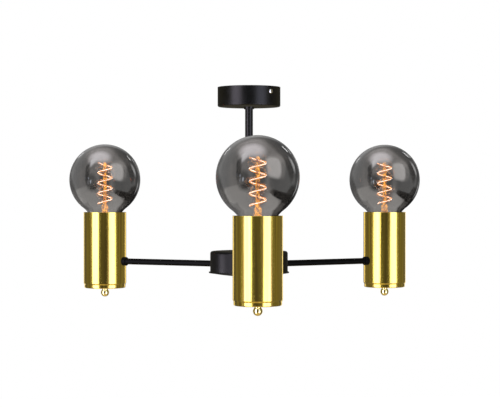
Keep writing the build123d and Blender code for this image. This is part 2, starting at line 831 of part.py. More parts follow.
def bulb_cap():
    inner = bulb_cap_radius - bulb_cap_wall
    shell_bottom = bulb_cap_top_z - cap_shell_length
    cone = cap_cone_diameter / 2
    cone_bottom = bulb_tip_z + tip_height
    return turned(
        outline(
            (bulb_cap_radius, bulb_cap_top_z),
            (bulb_cap_radius, shell_bottom),
            (cone, cone_bottom),
            (0, cone_bottom),
            (0, cone_bottom + bulb_cap_wall),
            (cone, cone_bottom + bulb_cap_wall),
            (inner, shell_bottom + bulb_cap_wall),
            (inner, bulb_cap_top_z),
        )
    )


def bulb_tip():
    radius = tip_diameter / 2
    round_radius = tip_height / 2
    return turned(
        Line((0, bulb_tip_z + tip_height), (radius, bulb_tip_z + tip_height)),
        Line((radius, bulb_tip_z + tip_height), (radius, bulb_tip_z + round_radius)),
        arc((radius - round_radius, bulb_tip_z + round_radius), round_radius, 0, -90),
        Line((radius - round_radius, bulb_tip_z), (0, bulb_tip_z)),
        Line((0, bulb_tip_z), (0, bulb_tip_z + tip_height)),
    )


def bulb_stem():
    flare = glass_foot_radius - glass_wall
    flare_z = bulb_cap_top_z - glass_in_cap
    stem = stem_diameter / 2
    post = post_diameter / 2
    return turned(
        Line((0, flare_z), (flare, flare_z)),
        Line((flare, flare_z), (flare, flare_z + flare_rim)),
        EllipticalCenterArc(
            (flare, flare_z + flare_rim + flare_height), flare - stem, flare_height, 180, arc_size=quarter_turn
        ),
        Line((stem, flare_z + flare_rim + flare_height), (stem, stem_top_z)),
        Line((stem, stem_top_z), (post, stem_top_z + stem_taper)),
        Line((post, stem_top_z + stem_taper), (post, post_top_z - post)),
        arc((0, post_top_z - post), post, 0, quarter_turn),
        Line((0, post_top_z), (0, flare_z)),
    )


def helix_point(turn_angle):
    """A point of the filament's centre line and its direction, after turning from the lower end."""
    radius = filament_diameter / 2
    rise = filament_pitch / 360.0
    turn = math.radians(filament_start_angle + turn_angle)
    point = Vector(radius * math.cos(turn), radius * math.sin(turn), filament_start_z + rise * turn_angle)
    slope = filament_pitch / (2 * math.pi)
    return point, Vector(-radius * math.sin(turn), radius * math.cos(turn), slope).normalized()


def biarc(start, start_direction, end, end_direction):
    """Two arcs that meet smoothly and leave and arrive in the given directions."""
    chord = end - start
    total = start_direction + end_direction
    spread = 2 * (1 - start_direction.dot(end_direction))
    reach = (-chord.dot(total) + math.sqrt(chord.dot(total) ** 2 + spread * chord.dot(chord))) / spread
    before = start + start_direction * reach
    after = end - end_direction * reach
    joint = (before + after) * 0.5
    return [
        TangentArc(start, joint, tangent=start_direction),
        TangentArc(joint, end, tangent=after - before),
    ]


def filament_path():
    """The spiral as biarcs of a quarter turn, with straight ends one diameter long."""
    quarters = [helix_point(quarter_turn * i) for i in range(4 * filament_turns + 1)]
    (start, start_direction), (end, end_direction) = quarters[0], quarters[-1]
    edges = [Line(start - start_direction * filament_wire, start)]
    for (a, a_direction), (b, b_direction) in zip(quarters, quarters[1:]):
        edges += biarc(a, a_direction, b, b_direction)
    edges.append(Line(end, end + end_direction * filament_wire))
    return Wire(edges)


def least_gap_to_itself(path, diameter):
    """The least gap between stretches of the tube that are over a half turn apart."""
    points_in_a_turn = 64
    count = points_in_a_turn * filament_turns
    points = [path @ (i / count) for i in range(count + 1)]
    apart = math.pi * filament_diameter / 2
    step = path.length / count
    skip = math.ceil(apart / step)
    distances = [
        (points[i] - points[j]).length for i in range(count + 1) for j in range(i + skip, count + 1)
    ]
    return min(distances) - diameter


def bulb_filament(path):
    return wire_along(path, filament_wire / 2)


def bulb_leads():
    """Two lead-in wires, each from an end of the filament to the glass it is sealed in."""
    low, low_direction = helix_point(0.0)
    high, high_direction = helix_point(360.0 * filament_turns)
    low_end = low - low_direction * filament_wire
    high_end = high + high_direction * filament_wire
    low_out = low_end - low_direction * lead_in_run
    high_out = high_end + high_direction * lead_in_run
    in_stem = Vector(0, 0, stem_top_z - stem_taper)
    in_post = Vector(0, 0, post_top_z - 2 * post_diameter)
    glass = bulb_stem()
    wires = []
    for points in ((low_end, low_out, in_stem), (high_end, high_out, in_post)):
        path = FilletPolyline(*points, radius=lead_in_run / 2)
        wires.append(wire_along(path, lead_in_diameter / 2) - glass)
    return wires


# Writing the files


def write(name, shapes):
    """Write one node, which is one solid or a group of separate solids."""
    if not isinstance(shapes, (list, tuple)):
        shapes = [shapes]
    solids = [solid for shape in shapes for solid in shape.solids()]
    export_step(Compound(children=solids), f"parts/{name}.step")


os.makedirs("parts", exist_ok=True)

write("ceiling_bracket", ceiling_bracket())
write("canopy", canopy())
write("canopy_screws", canopy_screws())
write("terminal_block", terminal_block())
write("terminal_screws", terminal_screws())
write("down_rod", down_rod())
write("rod_collar", rod_collar())
write("locknuts_m10", locknuts_m10())
write("tooth_washers", tooth_washers())
write("riser_leads", riser_leads())
write("hub_cup", hub_cup())
write("hub_cover", hub_cover())
write("hub_cap_nut", hub_cap_nut())
write("terminal_ring", terminal_ring())
write("arm_collars", arm_collars())
write("locknuts_m8", locknuts_m8())
write("lamp_leads", lamp_leads())
write("finial_nuts", finial_nuts())
write("holder_brackets", holder_brackets())
write("holder_inserts", holder_inserts())
write("holder_shells", holder_shells())
write("holder_contacts", holder_contacts())
write("holder_nipples", holder_nipples())

arm_nodes = {
    "arm": arm(),
    "cup_tube": cup_tube(),
    "cup_base": cup_base(),
    "ball_finial": ball_finial(),
    "lampholder_barrel": lampholder_barrel(),
    "lampholder_cap": lampholder_cap(),
}
for name, shape in arm_nodes.items():
    for number, copy in enumerate(around(shape), start=1):
        write(f"{name}_{number}", copy)

spiral = filament_path()
bulb_nodes = {
    "glass": [bulb_glass()],
    "cap": [bulb_cap()],
    "tip": [bulb_tip()],
    "stem": [bulb_stem()],
    "filament": [bulb_filament(spiral)],
    "leads": bulb_leads(),
}
for name, shapes in bulb_nodes.items():
    for number, place in enumerate(lamp_axis_points, start=1):
        write(f"bulb_{number}_{name}", [Pos(*place) * shape for shape in shapes])

print(f"bulb length {globe_centre_z + globe_radius - bulb_tip_z:.1f} mm")
print(f"filament's least gap to itself {least_gap_to_itself(spiral, filament_wire):.2f} mm")
print(f"overall: {2 * (arm_reach + globe_radius):.1f} mm wide, {ball_diameter / 2 - ball_centre_z:.1f} mm high")
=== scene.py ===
"""Looks of a three-arm ceiling light with brushed brass cups and smoke globe lamps.

Every length is in metres and in the frame's own axes: the origin is the centre of the ceiling
face, +Z points up, and the first arm points along -Y, towards the camera.
"""

import json
import logging
import math
from dataclasses import dataclass
from enum import Enum
from typing import Any

import bpy
import numpy as np
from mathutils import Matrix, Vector

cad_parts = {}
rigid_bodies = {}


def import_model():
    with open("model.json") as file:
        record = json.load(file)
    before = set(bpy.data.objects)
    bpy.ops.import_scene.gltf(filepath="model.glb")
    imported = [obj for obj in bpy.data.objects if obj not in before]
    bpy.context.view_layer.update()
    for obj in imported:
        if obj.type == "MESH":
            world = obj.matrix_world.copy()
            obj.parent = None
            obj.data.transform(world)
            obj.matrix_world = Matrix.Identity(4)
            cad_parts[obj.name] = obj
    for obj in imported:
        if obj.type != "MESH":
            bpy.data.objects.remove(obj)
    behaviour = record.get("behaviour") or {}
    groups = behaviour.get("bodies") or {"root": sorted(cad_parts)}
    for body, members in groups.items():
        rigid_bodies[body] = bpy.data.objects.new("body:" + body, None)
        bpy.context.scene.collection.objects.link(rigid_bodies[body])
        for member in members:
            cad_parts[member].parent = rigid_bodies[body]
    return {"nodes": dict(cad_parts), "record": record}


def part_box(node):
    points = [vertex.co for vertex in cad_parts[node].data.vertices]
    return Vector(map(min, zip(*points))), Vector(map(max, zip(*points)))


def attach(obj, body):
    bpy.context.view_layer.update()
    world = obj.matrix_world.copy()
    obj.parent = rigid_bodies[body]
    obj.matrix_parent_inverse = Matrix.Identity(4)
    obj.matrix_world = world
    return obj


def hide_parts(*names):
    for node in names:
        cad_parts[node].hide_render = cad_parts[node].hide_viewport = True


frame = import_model()

log = logging.getLogger("ceiling_light")

MM = 0.001
LAMPS = (1, 2, 3)

# The part of a noise pattern's range that holds most of it.
PATTERN_LOW, PATTERN_HIGH = 0.25, 0.75

# The Mix node's sockets when it mixes colours, by number: its three kinds of value share names.
MIX_SHARE, MIX_FIRST, MIX_SECOND = 0, 6, 7
MIX_COLOUR = 2

# A point nearer to the axis than this is a pole.
POLE_RADIUS = 1e-9

# A studio panel's slopes are divided by no less than this, also behind its back.
LEAST_FORWARD = 1e-4


class Slot(Enum):
    """The record's material slots."""

    POWDER = "black_powder_coat"
    BRASS = "lacquered_brass"
    SMOKE = "smoke_glass"
    CLEAR = "clear_glass"
    FILAMENT = "led_filament"
    CAP = "nickel_brass"
    CONTACT = "contact_brass"
    SCREW = "nickel_steel"
    ZINC = "zinc_steel"
    PHENOLIC = "black_phenolic"
    STEATITE = "steatite"
    POLYAMIDE = "white_polyamide"
    INSULATION = "wire_insulation"


# Nodes and colours


def linear(hex_colour: str) -> tuple[float, float, float, float]:
    """Turns an sRGB hex colour into linear RGBA.

    Args:
        hex_colour: six hex digits, such as "e8c46a".

    Returns:
        Red, green, blue and an alpha of 1.
    """
    channels = np.array([int(hex_colour[i : i + 2], 16) for i in (0, 2, 4)]) / 255
    curve = np.where(channels <= 0.04045, channels / 12.92, ((channels + 0.055) / 1.055) ** 2.4)
    return (*(float(c) for c in curve), 1.0)


def add_node(
    tree: bpy.types.NodeTree, kind: str, inputs: dict[Any, Any] | None = None, **settings: Any
) -> Any:
    """Adds a node with its settings, its values and its links.

    Args:
        tree: the node tree.
        kind: the node's type name.
        inputs: input names or numbers, each with an output socket to link or a value to set.
        settings: the node's own properties.

    Returns:
        The node.
    """
    node = tree.nodes.new(kind)
    for name, value in settings.items():
        setattr(node, name, value)
    for name, value in (inputs or {}).items():
        if isinstance(value, bpy.types.NodeSocket):
            tree.links.new(value, node.inputs[name])
        else:
            node.inputs[name].default_value = value
    return node


def spread(tree: bpy.types.NodeTree, value: Any, low: float, high: float) -> Any:
    """Maps a pattern of 0 to 1, whose middle half holds most of it, to low and high.

    Args:
        tree: the node tree.
        value: the pattern's output socket.
        low: what the pattern's dark parts become.
        high: what its light parts become.

    Returns:
        The output socket.
    """
    inputs = {"Value": value, "From Min": PATTERN_LOW, "From Max": PATTERN_HIGH}
    inputs |= {"To Min": low, "To Max": high}
    return add_node(tree, "ShaderNodeMapRange", inputs).outputs["Result"]


def grain(tree: bpy.types.NodeTree, size: tuple[float, float, float], detail: float = 2.0) -> Any:
    """Noise whose spots have the given real size along X, Y and Z.

    Args:
        tree: the node tree.
        size: the spots' size in millimetres along each axis.
        detail: how many finer layers the noise has.

    Returns:
        The noise's output socket, from 0 to 1.
    """
    place = add_node(tree, "ShaderNodeTexCoord").outputs["Object"]
    scale = tuple(1 / (length * MM) for length in size)
    mapped = add_node(tree, "ShaderNodeMapping", {"Vector": place, "Scale": scale})
    noise = {"Vector": mapped.outputs["Vector"], "Scale": 1.0, "Detail": detail}
    return add_node(tree, "ShaderNodeTexNoise", noise).outputs["Fac"]


def blend_colours(tree: bpy.types.NodeTree, share: Any, first: str, second: str) -> Any:
    """Mixes two colours by a pattern.

    Args:
        tree: the node tree.
        share: the pattern's output socket.
        first: the hex colour where the pattern is 0.
        second: the hex colour where it is 1.

    Returns:
        The output socket.
    """
    inputs = {MIX_SHARE: share, MIX_FIRST: linear(first), MIX_SECOND: linear(second)}
    return add_node(tree, "ShaderNodeMix", inputs, data_type="RGBA").outputs[MIX_COLOUR]


# Finishes


@dataclass(frozen=True)
class Finish:
    """A surface finish, which makes one material the first time it is asked for."""

    name: str

    def shader(self, tree: bpy.types.NodeTree) -> Any:
        """Builds the finish's nodes and gives the shader's output socket."""
        raise NotImplementedError

    def material(self) -> bpy.types.Material:
        """Gives the finish's material, made once.

        Returns:
            The material, which bears the finish's name.
        """
        made = bpy.data.materials.get(self.name)
        if made is None:
            made = bpy.data.materials.new(self.name)
            made.use_nodes = True
            made.node_tree.nodes.clear()
            surface = self.shader(made.node_tree)
            add_node(made.node_tree, "ShaderNodeOutputMaterial", {"Surface": surface})
        return made


@dataclass(frozen=True)
class PowderCoat(Finish):
    """Black polyester powder, baked on steel: a satin skin with a faint orange peel.

    What little light it throws back is warmed by a tint, because the studio's cards are cool.
    """

    dark: str = "060708"
    light: str = "0c0d0f"
    peel_mm: float = 1.1
    peel_height_mm: float = 0.018
    blotch_mm: float = 9.0
    roughness: tuple[float, float] = (0.3, 0.37)
    gloss: float = 0.27
    ior: float = 1.5
    tint: tuple[float, float, float, float] = (1.0, 0.96, 0.85, 1.0)

    def shader(self, tree: bpy.types.NodeTree) -> Any:
        """Builds the coat; its peel is really 0.4 mm and is drawn coarser so that it shows.

        Args:
            tree: the material's node tree.

        Returns:
            The shader's output socket.
        """
        peel = grain(tree, (self.peel_mm,) * 3)
        blotch = grain(tree, (self.blotch_mm,) * 3)
        bump = {"Height": peel, "Distance": self.peel_height_mm * MM, "Strength": 1.0}
        inputs = {
            "Base Color": blend_colours(tree, blotch, self.dark, self.light),
            "Roughness": spread(tree, blotch, *self.roughness),
            "IOR": self.ior,
            "Specular IOR Level": self.gloss,
            "Specular Tint": self.tint,
            "Normal": add_node(tree, "ShaderNodeBump", bump).outputs["Normal"],
        }
        return add_node(tree, "ShaderNodeBsdfPrincipled", inputs).outputs["BSDF"]


@dataclass(frozen=True)
class BrushedBrass(Finish):
    """Drawn brass, brushed along its length and lacquered.

    It mirrors the studio's cards as upright bands, streaked by the brush, under a clear film.
    """

    dark: str = "a88c4c"
    light: str = "ffe662"
    streak_mm: float = 3.0
    streak_length_mm: float = 160.0
    streak_detail: float = 3.0
    streak_height_mm: float = 0.014
    roughness: tuple[float, float] = (0.13, 0.20)
    lacquer: float = 0.5
    lacquer_roughness: float = 0.08

    def shader(self, tree: bpy.types.NodeTree) -> Any:
        """Builds the brass; its brush marks are really 0.1 mm apart and are drawn coarser, to show.

        Args:
            tree: the material's node tree.

        Returns:
            The shader's output socket.
        """
        size = (self.streak_mm, self.streak_mm, self.streak_length_mm)
        streaks = grain(tree, size, self.streak_detail)
        bump = {"Height": streaks, "Distance": self.streak_height_mm * MM, "Strength": 1.0}
        share = spread(tree, streaks, 0.0, 1.0)
        inputs = {
            "Base Color": blend_colours(tree, share, self.dark, self.light),
            "Roughness": spread(tree, streaks, *self.roughness),
            "Metallic": 1.0,
            "Coat Weight": self.lacquer,
            "Coat Roughness": self.lacquer_roughness,
            "Normal": add_node(tree, "ShaderNodeBump", bump).outputs["Normal"],
        }
        return add_node(tree, "ShaderNodeBsdfPrincipled", inputs).outputs["BSDF"]


@dataclass(frozen=True)
class SmokeGlass(Finish):
    """Blown globe with a smoke metal film: a dark mirror that lets a little light through.

    Both roughnesses are 0, because the world tells the globe's mirror from a rough one by that.
    """

    dark: str = "5e5b58"
    light: str = "716e6b"
    cloud_mm: float = 55.0
    glass_ior: float = 1.5
    film_ior: float = 2.4

    def shader(self, tree: bpy.types.NodeTree) -> Any:
        """Builds the glass; the film is the coat, and its clouds are where it was laid thicker.

        Args:
            tree: the material's node tree.

        Returns:
            The shader's output socket.
        """
        cloud = grain(tree, (self.cloud_mm,) * 3, detail=1.0)
        inputs = {
            "Base Color": blend_colours(tree, cloud, self.dark, self.light),
            "Roughness": 0.0,
            "IOR": self.glass_ior,
            "Transmission Weight": 1.0,
            "Coat Weight": 1.0,
            "Coat Roughness": 0.0,
            "Coat IOR": self.film_ior,
        }
        return add_node(tree, "ShaderNodeBsdfPrincipled", inputs).outputs["BSDF"]


@dataclass(frozen=True)
class Glow(Finish):
    """A lit part of the soft silicone filament, brighter where its chips lie, 0.5 mm apart."""

    body: str
    dim: str
    bright: str
    strength: float
    chip_mm: float = 1.6
    roughness: float = 0.5

    def shader(self, tree: bpy.types.NodeTree) -> Any:
        """Builds the glow; its chips are drawn coarser than they are, so that they show.

        Args:
            tree: the material's node tree.

        Returns:
            The shader's output socket.
        """
        along = add_node(tree, "ShaderNodeUVMap", uv_map="length").outputs["UV"]
        scale = (1 / (self.chip_mm * MM), 0.0, 0.0)
        mapped = add_node(tree, "ShaderNodeMapping", {"Vector": along, "Scale": scale})
        noise = {"Vector": mapped.outputs["Vector"], "Scale": 1.0, "Detail": 0.0}
        chips = add_node(tree, "ShaderNodeTexNoise", noise).outputs["Fac"]
        inputs = {
            "Base Color": linear(self.body),
            "Roughness": self.roughness,
            "Emission Color": blend_colours(tree, chips, self.dim, self.bright),
            "Emission Strength": self.strength,
        }
        return add_node(tree, "ShaderNodeBsdfPrincipled", inputs).outputs["BSDF"]


@dataclass(frozen=True)
class PaintedGlowGlass(Finish):
    """Flint glass stem, drawn in a flame, with a painted glow in its draw lines: the stem emits orange
    light itself, in place of the filament's light caught in it.
    """

    tint: str = "a05a20"
    # dim, bright and strength set the painted glow's emission: the stem is no lamp.
    dim: str = "3c1600"
    bright: str = "ffb020"
    strength: float = 15.0
    cover: float = 0.5
    line_mm: tuple[float, float, float] = (2.4, 2.4, 4.2)
    line_height_mm: float = 0.12
    painted_glow_contrast: tuple[float, float] = (-1.0, 1.7)
    roughness: float = 0.15
    ior: float = 1.5
    clearness: float = 0.2

    def shader(self, tree: bpy.types.NodeTree) -> Any:
        """Builds the glass: draw lines run up the stem, and a painted orange glow, emitted by the
        glass itself, shows brighter where they crowd.

        Args:
            tree: the material's node tree.

        Returns:
            The shader's output socket.
        """
        lines = grain(tree, self.line_mm)
        bump = {"Height": lines, "Distance": self.line_height_mm * MM, "Strength": 1.0}
        # Painted glow and glints: the draw lines' noise sets where the stem emits more light.
        light = spread(tree, lines, *self.painted_glow_contrast)
        inputs = {
            "Base Color": linear(self.tint),
            "Roughness": self.roughness,
            "IOR": self.ior,
            "Transmission Weight": self.clearness,
            "Emission Color": blend_colours(tree, light, self.dim, self.bright),
            "Emission Strength": self.strength,
            "Alpha": self.cover,
            "Normal": add_node(tree, "ShaderNodeBump", bump).outputs["Normal"],
        }
        return add_node(tree, "ShaderNodeBsdfPrincipled", inputs).outputs["BSDF"]


@dataclass(frozen=True)
class Metal(Finish):
    """A plated or bare turned metal, with fine marks of one size and depth."""

    dark: str
    light: str
    roughness: tuple[float, float]
    mark_mm: tuple[float, float, float] = (1.5, 1.5, 1.5)
    mark_height_mm: float = 0.01

    def shader(self, tree: bpy.types.NodeTree) -> Any:
        """Builds the metal with its marks in colour, roughness and height.

        Args:
            tree: the material's node tree.

        Returns:
            The shader's output socket.
        """
        marks = grain(tree, self.mark_mm)
        bump = {"Height": marks, "Distance": self.mark_height_mm * MM, "Strength": 1.0}
        inputs = {
            "Base Color": blend_colours(tree, marks, self.dark, self.light),
            "Roughness": spread(tree, marks, *self.roughness),
            "Metallic": 1.0,
            "Normal": add_node(tree, "ShaderNodeBump", bump).outputs["Normal"],
        }
        return add_node(tree, "ShaderNodeBsdfPrincipled", inputs).outputs["BSDF"]


@dataclass(frozen=True)
class Moulded(Finish):
    """A moulded plastic or pressed ceramic, whose skin has a fine grain."""

    dark: str
    light: str
    roughness: tuple[float, float]
    ior: float = 1.5
    grain_mm: float = 1.4
    grain_height_mm: float = 0.02

    def shader(self, tree: bpy.types.NodeTree) -> Any:
        """Builds the skin with its grain in colour, roughness and height.

        Args:
            tree: the material's node tree.

        Returns:
            The shader's output socket.
        """
        spots = grain(tree, (self.grain_mm,) * 3)
        bump = {"Height": spots, "Distance": self.grain_height_mm * MM, "Strength": 1.0}
        inputs = {
            "Base Color": blend_colours(tree, spots, self.dark, self.light),
            "Roughness": spread(tree, spots, *self.roughness),
            "IOR": self.ior,
            "Normal": add_node(tree, "ShaderNodeBump", bump).outputs["Normal"],
        }
        return add_node(tree, "ShaderNodeBsdfPrincipled", inputs).outputs["BSDF"]


FINISHES: dict[Slot, Finish] = {
    Slot.POWDER: PowderCoat("black_polyester_powder"),
    Slot.BRASS: BrushedBrass("brushed_lacquered_brass"),
    Slot.SMOKE: SmokeGlass("smoke_mirror_glass"),
    # The stem glass carries a painted glow, emitted by the glass itself in place of the filament's
    # light.
    Slot.CLEAR: PaintedGlowGlass("flint_glass_tube_painted_glow"),
    # The sleeve's phosphor glows orange at its edges, where the chips light it from inside.
    Slot.FILAMENT: Glow("phosphor_silicone", "ff9c48", "ff8a14", "ffb440", 10.0),
    # Rolled and plated sheet: a warm pale grey, softly shiny.
    Slot.CAP: Metal("nickel_plated_brass_sheet", "b9b4a8", "cfcabf", (0.16, 0.28)),
    # Stamped spring brass, bare: dull gold.
    Slot.CONTACT: Metal("half_hard_brass", "c9a456", "dcb96a", (0.25, 0.4)),
    # Plated and tumbled screws: small bright glints.
    Slot.SCREW: Metal("bright_nickel_plate", "c9c6c0", "dedbd5", (0.1, 0.2)),
    # Plated sheet and nuts: a cool grey with a soft sheen.
    Slot.ZINC: Metal("bright_zinc_plate", "a9adb2", "c3c6ca", (0.28, 0.42)),
    # Hot-pressed resin: near black, with a dull shine.
    Slot.PHENOLIC: Moulded("moulded_phenolic", "0e0d0d", "171615", (0.28, 0.38), ior=1.6),
    # Pressed and fired ceramic: off-white and matt.
    Slot.STEATITE: Moulded("pressed_steatite", "dcd8cc", "efece2", (0.35, 0.5), ior=1.6),
    # Moulded terminal housings: milky white and matt.
    Slot.POLYAMIDE: Moulded("moulded_polyamide", "e2e0d8", "f2f0ea", (0.4, 0.5), ior=1.53),
    # Drawn sleeving: dark grey and rubbery.
    Slot.INSULATION: Moulded("silicone_sleeve", "2a2b2e", "36373a", (0.45, 0.6), ior=1.41),
}

# Sprayed thin on the arms and their collars, it throws back hardly any light.
FLAT_COAT = PowderCoat("flat_black_polyester_powder", "030404", "070708", gloss=0.05)
# The hub's coat is less glossy than the canopy's and the rod's.
SATIN_COAT = PowderCoat("satin_black_polyester_powder", gloss=0.12)
# The finials are turned and polished: close mirrors with hardly a mark.
POLISHED = BrushedBrass(
    "polished_lacquered_brass", "d8c27a", "fff0a8", streak_height_mm=0.003, roughness=(0.04, 0.07)
)
# The strip of chips on the filament is white-hot to the eye.
LIT_CHIPS = Glow("lit_chip_strip", "fff4ea", "f6f0f2", "ffffff", 16.0)
# The insulator under a lamp's cap is cast glass: black and shiny.
CAP_GLASS = Moulded("black_cap_glass", "070708", "0c0c0d", (0.08, 0.15))

NODE_FINISHES: dict[str, Finish] = {"arm_collars": FLAT_COAT}
NODE_FINISHES |= {name: SATIN_COAT for name in ("hub_cup", "hub_cover")}
NODE_FINISHES |= {f"arm_{number}": FLAT_COAT for number in LAMPS}
NODE_FINISHES |= {f"ball_finial_{number}": POLISHED for number in LAMPS}


# Surfaces


class Profile:
    """A closed outline of (radius, height) points, walked with its solid on the left.

    Each run keeps its own normals, which point to its right, so that a corner stays sharp and
    an arc shades smoothly when the outline is turned about an axis.
    """

    def __init__(self, radius: float, height: float) -> None:
        """Starts the outline at a point.

        Args:
            radius: the point's distance from the axis.
            height: its height.
        """
        self.here = np.array([radius, height], float)
        self.starts: list[np.ndarray] = []
        self.ends: list[np.ndarray] = []
        self.start_normals: list[np.ndarray] = []
        self.end_normals: list[np.ndarray] = []

    def _add(self, points: np.ndarray, normals: np.ndarray) -> "Profile":
        """Adds the runs between neighbouring points.

        Args:
            points: the points, from where the outline stands now.
            normals: the outward normal at each of them.

        Returns:
            The outline itself.
        """
        self.starts.append(points[:-1])
        self.ends.append(points[1:])
        self.start_normals.append(normals[:-1])
        self.end_normals.append(normals[1:])
        self.here = points[-1]
        return self

    def line(self, radius: float, height: float, parts: int = 1) -> "Profile":
        """Goes straight to a point, in equal parts.

        Args:
            radius: the point's distance from the axis.
            height: its height.
            parts: how many runs the way has.

        Returns:
            The outline itself.
        """
        end = np.array([radius, height], float)
        share = np.linspace(0, 1, parts + 1)[:, None]
        points = self.here + (end - self.here) * share
        step = (end - self.here) / np.linalg.norm(end - self.here)
        return self._add(points, np.tile([step[1], -step[0]], (parts + 1, 1)))

    def arc(self, centre: tuple[float, float], turn: float, step: float = 6.0) -> "Profile":
        """Turns about a centre by an angle.

        Args:
            centre: the arc's (radius, height) centre.
            turn: degrees, anticlockwise if positive.
            step: the most degrees between two points.

        Returns:
            The outline itself.
        """
        middle = np.array(centre, float)
        arm = self.here - middle
        turned = np.linspace(0, turn, math.ceil(abs(turn) / step) + 1)
        angles = math.atan2(arm[1], arm[0]) + np.radians(turned)
        outward = np.column_stack([np.cos(angles), np.sin(angles)])
        return self._add(middle + np.linalg.norm(arm) * outward, outward * math.copysign(1, turn))

    def runs(self) -> tuple[np.ndarray, np.ndarray, np.ndarray, np.ndarray]:
        """Gives every run's start, end, start normal and end normal as arrays."""
        lists = (self.starts, self.ends, self.start_normals, self.end_normals)
        return tuple(np.vstack(rows) for rows in lists)


@dataclass
class Surface:
    """A mesh as arrays.

    It has its points, the point of every face corner, the number of corners of every face and,
    where they are given, every corner's normal and its length along a swept line.
    """

    points: np.ndarray
    corners: np.ndarray
    sizes: np.ndarray
    normals: np.ndarray | None = None
    lengths: np.ndarray | None = None

    def moved(self, x: float, y: float) -> "Surface":
        """Gives the surface moved sideways."""
        points = self.points + [x, y, 0.0]
        return Surface(points, self.corners, self.sizes, self.normals, self.lengths)

    def made(
        self, name: str, body: str, finish: Finish, slot: Slot, replaced: tuple[str, ...]
    ) -> bpy.types.Object:
        """Makes the surface an object that rides on a body, in a finish, in place of CAD nodes.

        Args:
            name: the object's name.
            body: the CAD body it moves with.
            finish: its surface finish.
            slot: the record's material slot; not used.
            replaced: the CAD nodes it stands for.

        Returns:
            The object.
        """
        mesh = bpy.data.meshes.new(name)
        mesh.vertices.add(len(self.points))
        mesh.vertices.foreach_set("co", self.points.astype(np.float32).ravel())
        mesh.loops.add(len(self.corners))
        mesh.loops.foreach_set("vertex_index", self.corners.astype(np.int32))
        mesh.polygons.add(len(self.sizes))
        starts = np.concatenate([[0], np.cumsum(self.sizes)[:-1]])
        mesh.polygons.foreach_set("loop_start", starts.astype(np.int32))
        mesh.update(calc_edges=True)
        mesh.polygons.foreach_set("use_smooth", np.ones(len(self.sizes), bool))
        if self.lengths is not None:
            layer = mesh.uv_layers.new(name="length")
            pairs = np.column_stack([self.lengths, np.zeros(len(self.lengths))])
            layer.data.foreach_set("uv", pairs.astype(np.float32).ravel())
        if self.normals is not None:
            mesh.normals_split_custom_set(self.normals.tolist())
        mesh.materials.append(finish.material())
        piece = bpy.data.objects.new(name, mesh)
        bpy.context.scene.collection.objects.link(piece)
        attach(piece, body)
        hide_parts(*replaced)
        log.info("%s: %d faces on %s", name, len(self.sizes), body)
        return piece


def revolve(profile: Profile, sides: int = 96) -> Surface:
    """Turns an outline about Z.

    A point at radius r and height z goes to (r cos a, r sin a, z) for equally spaced angles a,
    and a point on the axis is one pole that a fan of triangles closes.

    Args:
        profile: the outline.
        sides: how many steps the circle has.

    Returns:
        The closed surface, with each run's own normals.
    """
    start, end, start_normal, end_normal = profile.runs()
    off_axis = (start[:, 0] > POLE_RADIUS) | (end[:, 0] > POLE_RADIUS)
    count = len(start)
    around = np.arange(sides)
    ahead = (around + 1) % sides
    angle = around * 2 * math.pi / sides
    direction = np.column_stack([np.cos(angle), np.sin(angle)])
    pole = start[:, 0] <= POLE_RADIUS
    rings = np.where(pole, 1, sides)
    first = np.concatenate([[0], np.cumsum(rings)[:-1]])

    def ring(radius: float, height: float) -> np.ndarray:
        """Gives the circle that a point of the outline goes round, or its pole."""
        if radius <= POLE_RADIUS:
            return np.array([[0.0, 0.0, height]])
        return np.column_stack([radius * direction, np.full(sides, height)])

    points = [ring(*point) for point in start]
    corners, sizes, normals = [], [], []
    for run in np.flatnonzero(off_axis):
        after = (run + 1) % count
        here = first[run] + (0 if pole[run] else 1) * np.vstack([around, ahead])
        there = first[after] + (0 if pole[after] else 1) * np.vstack([around, ahead])
        columns = [here[0], here[1], there[1], there[0]]
        near, far = start_normal[run], end_normal[run]
        sources = [(near, around), (near, ahead), (far, ahead), (far, around)]
        if pole[run]:
            columns, sources = columns[1:], sources[1:]
        elif pole[after]:
            columns, sources = columns[:3], sources[:3]
        corners.append(np.column_stack(columns).ravel())
        sizes.append(np.full(sides, len(columns)))
        turned = [np.column_stack([n[0] * direction[a], np.full(sides, n[1])]) for n, a in sources]
        normals.append(np.stack(turned, axis=1).reshape(-1, 3))
    faces = np.concatenate(corners), np.concatenate(sizes)
    return Surface(np.vstack(points), *faces, np.vstack(normals))


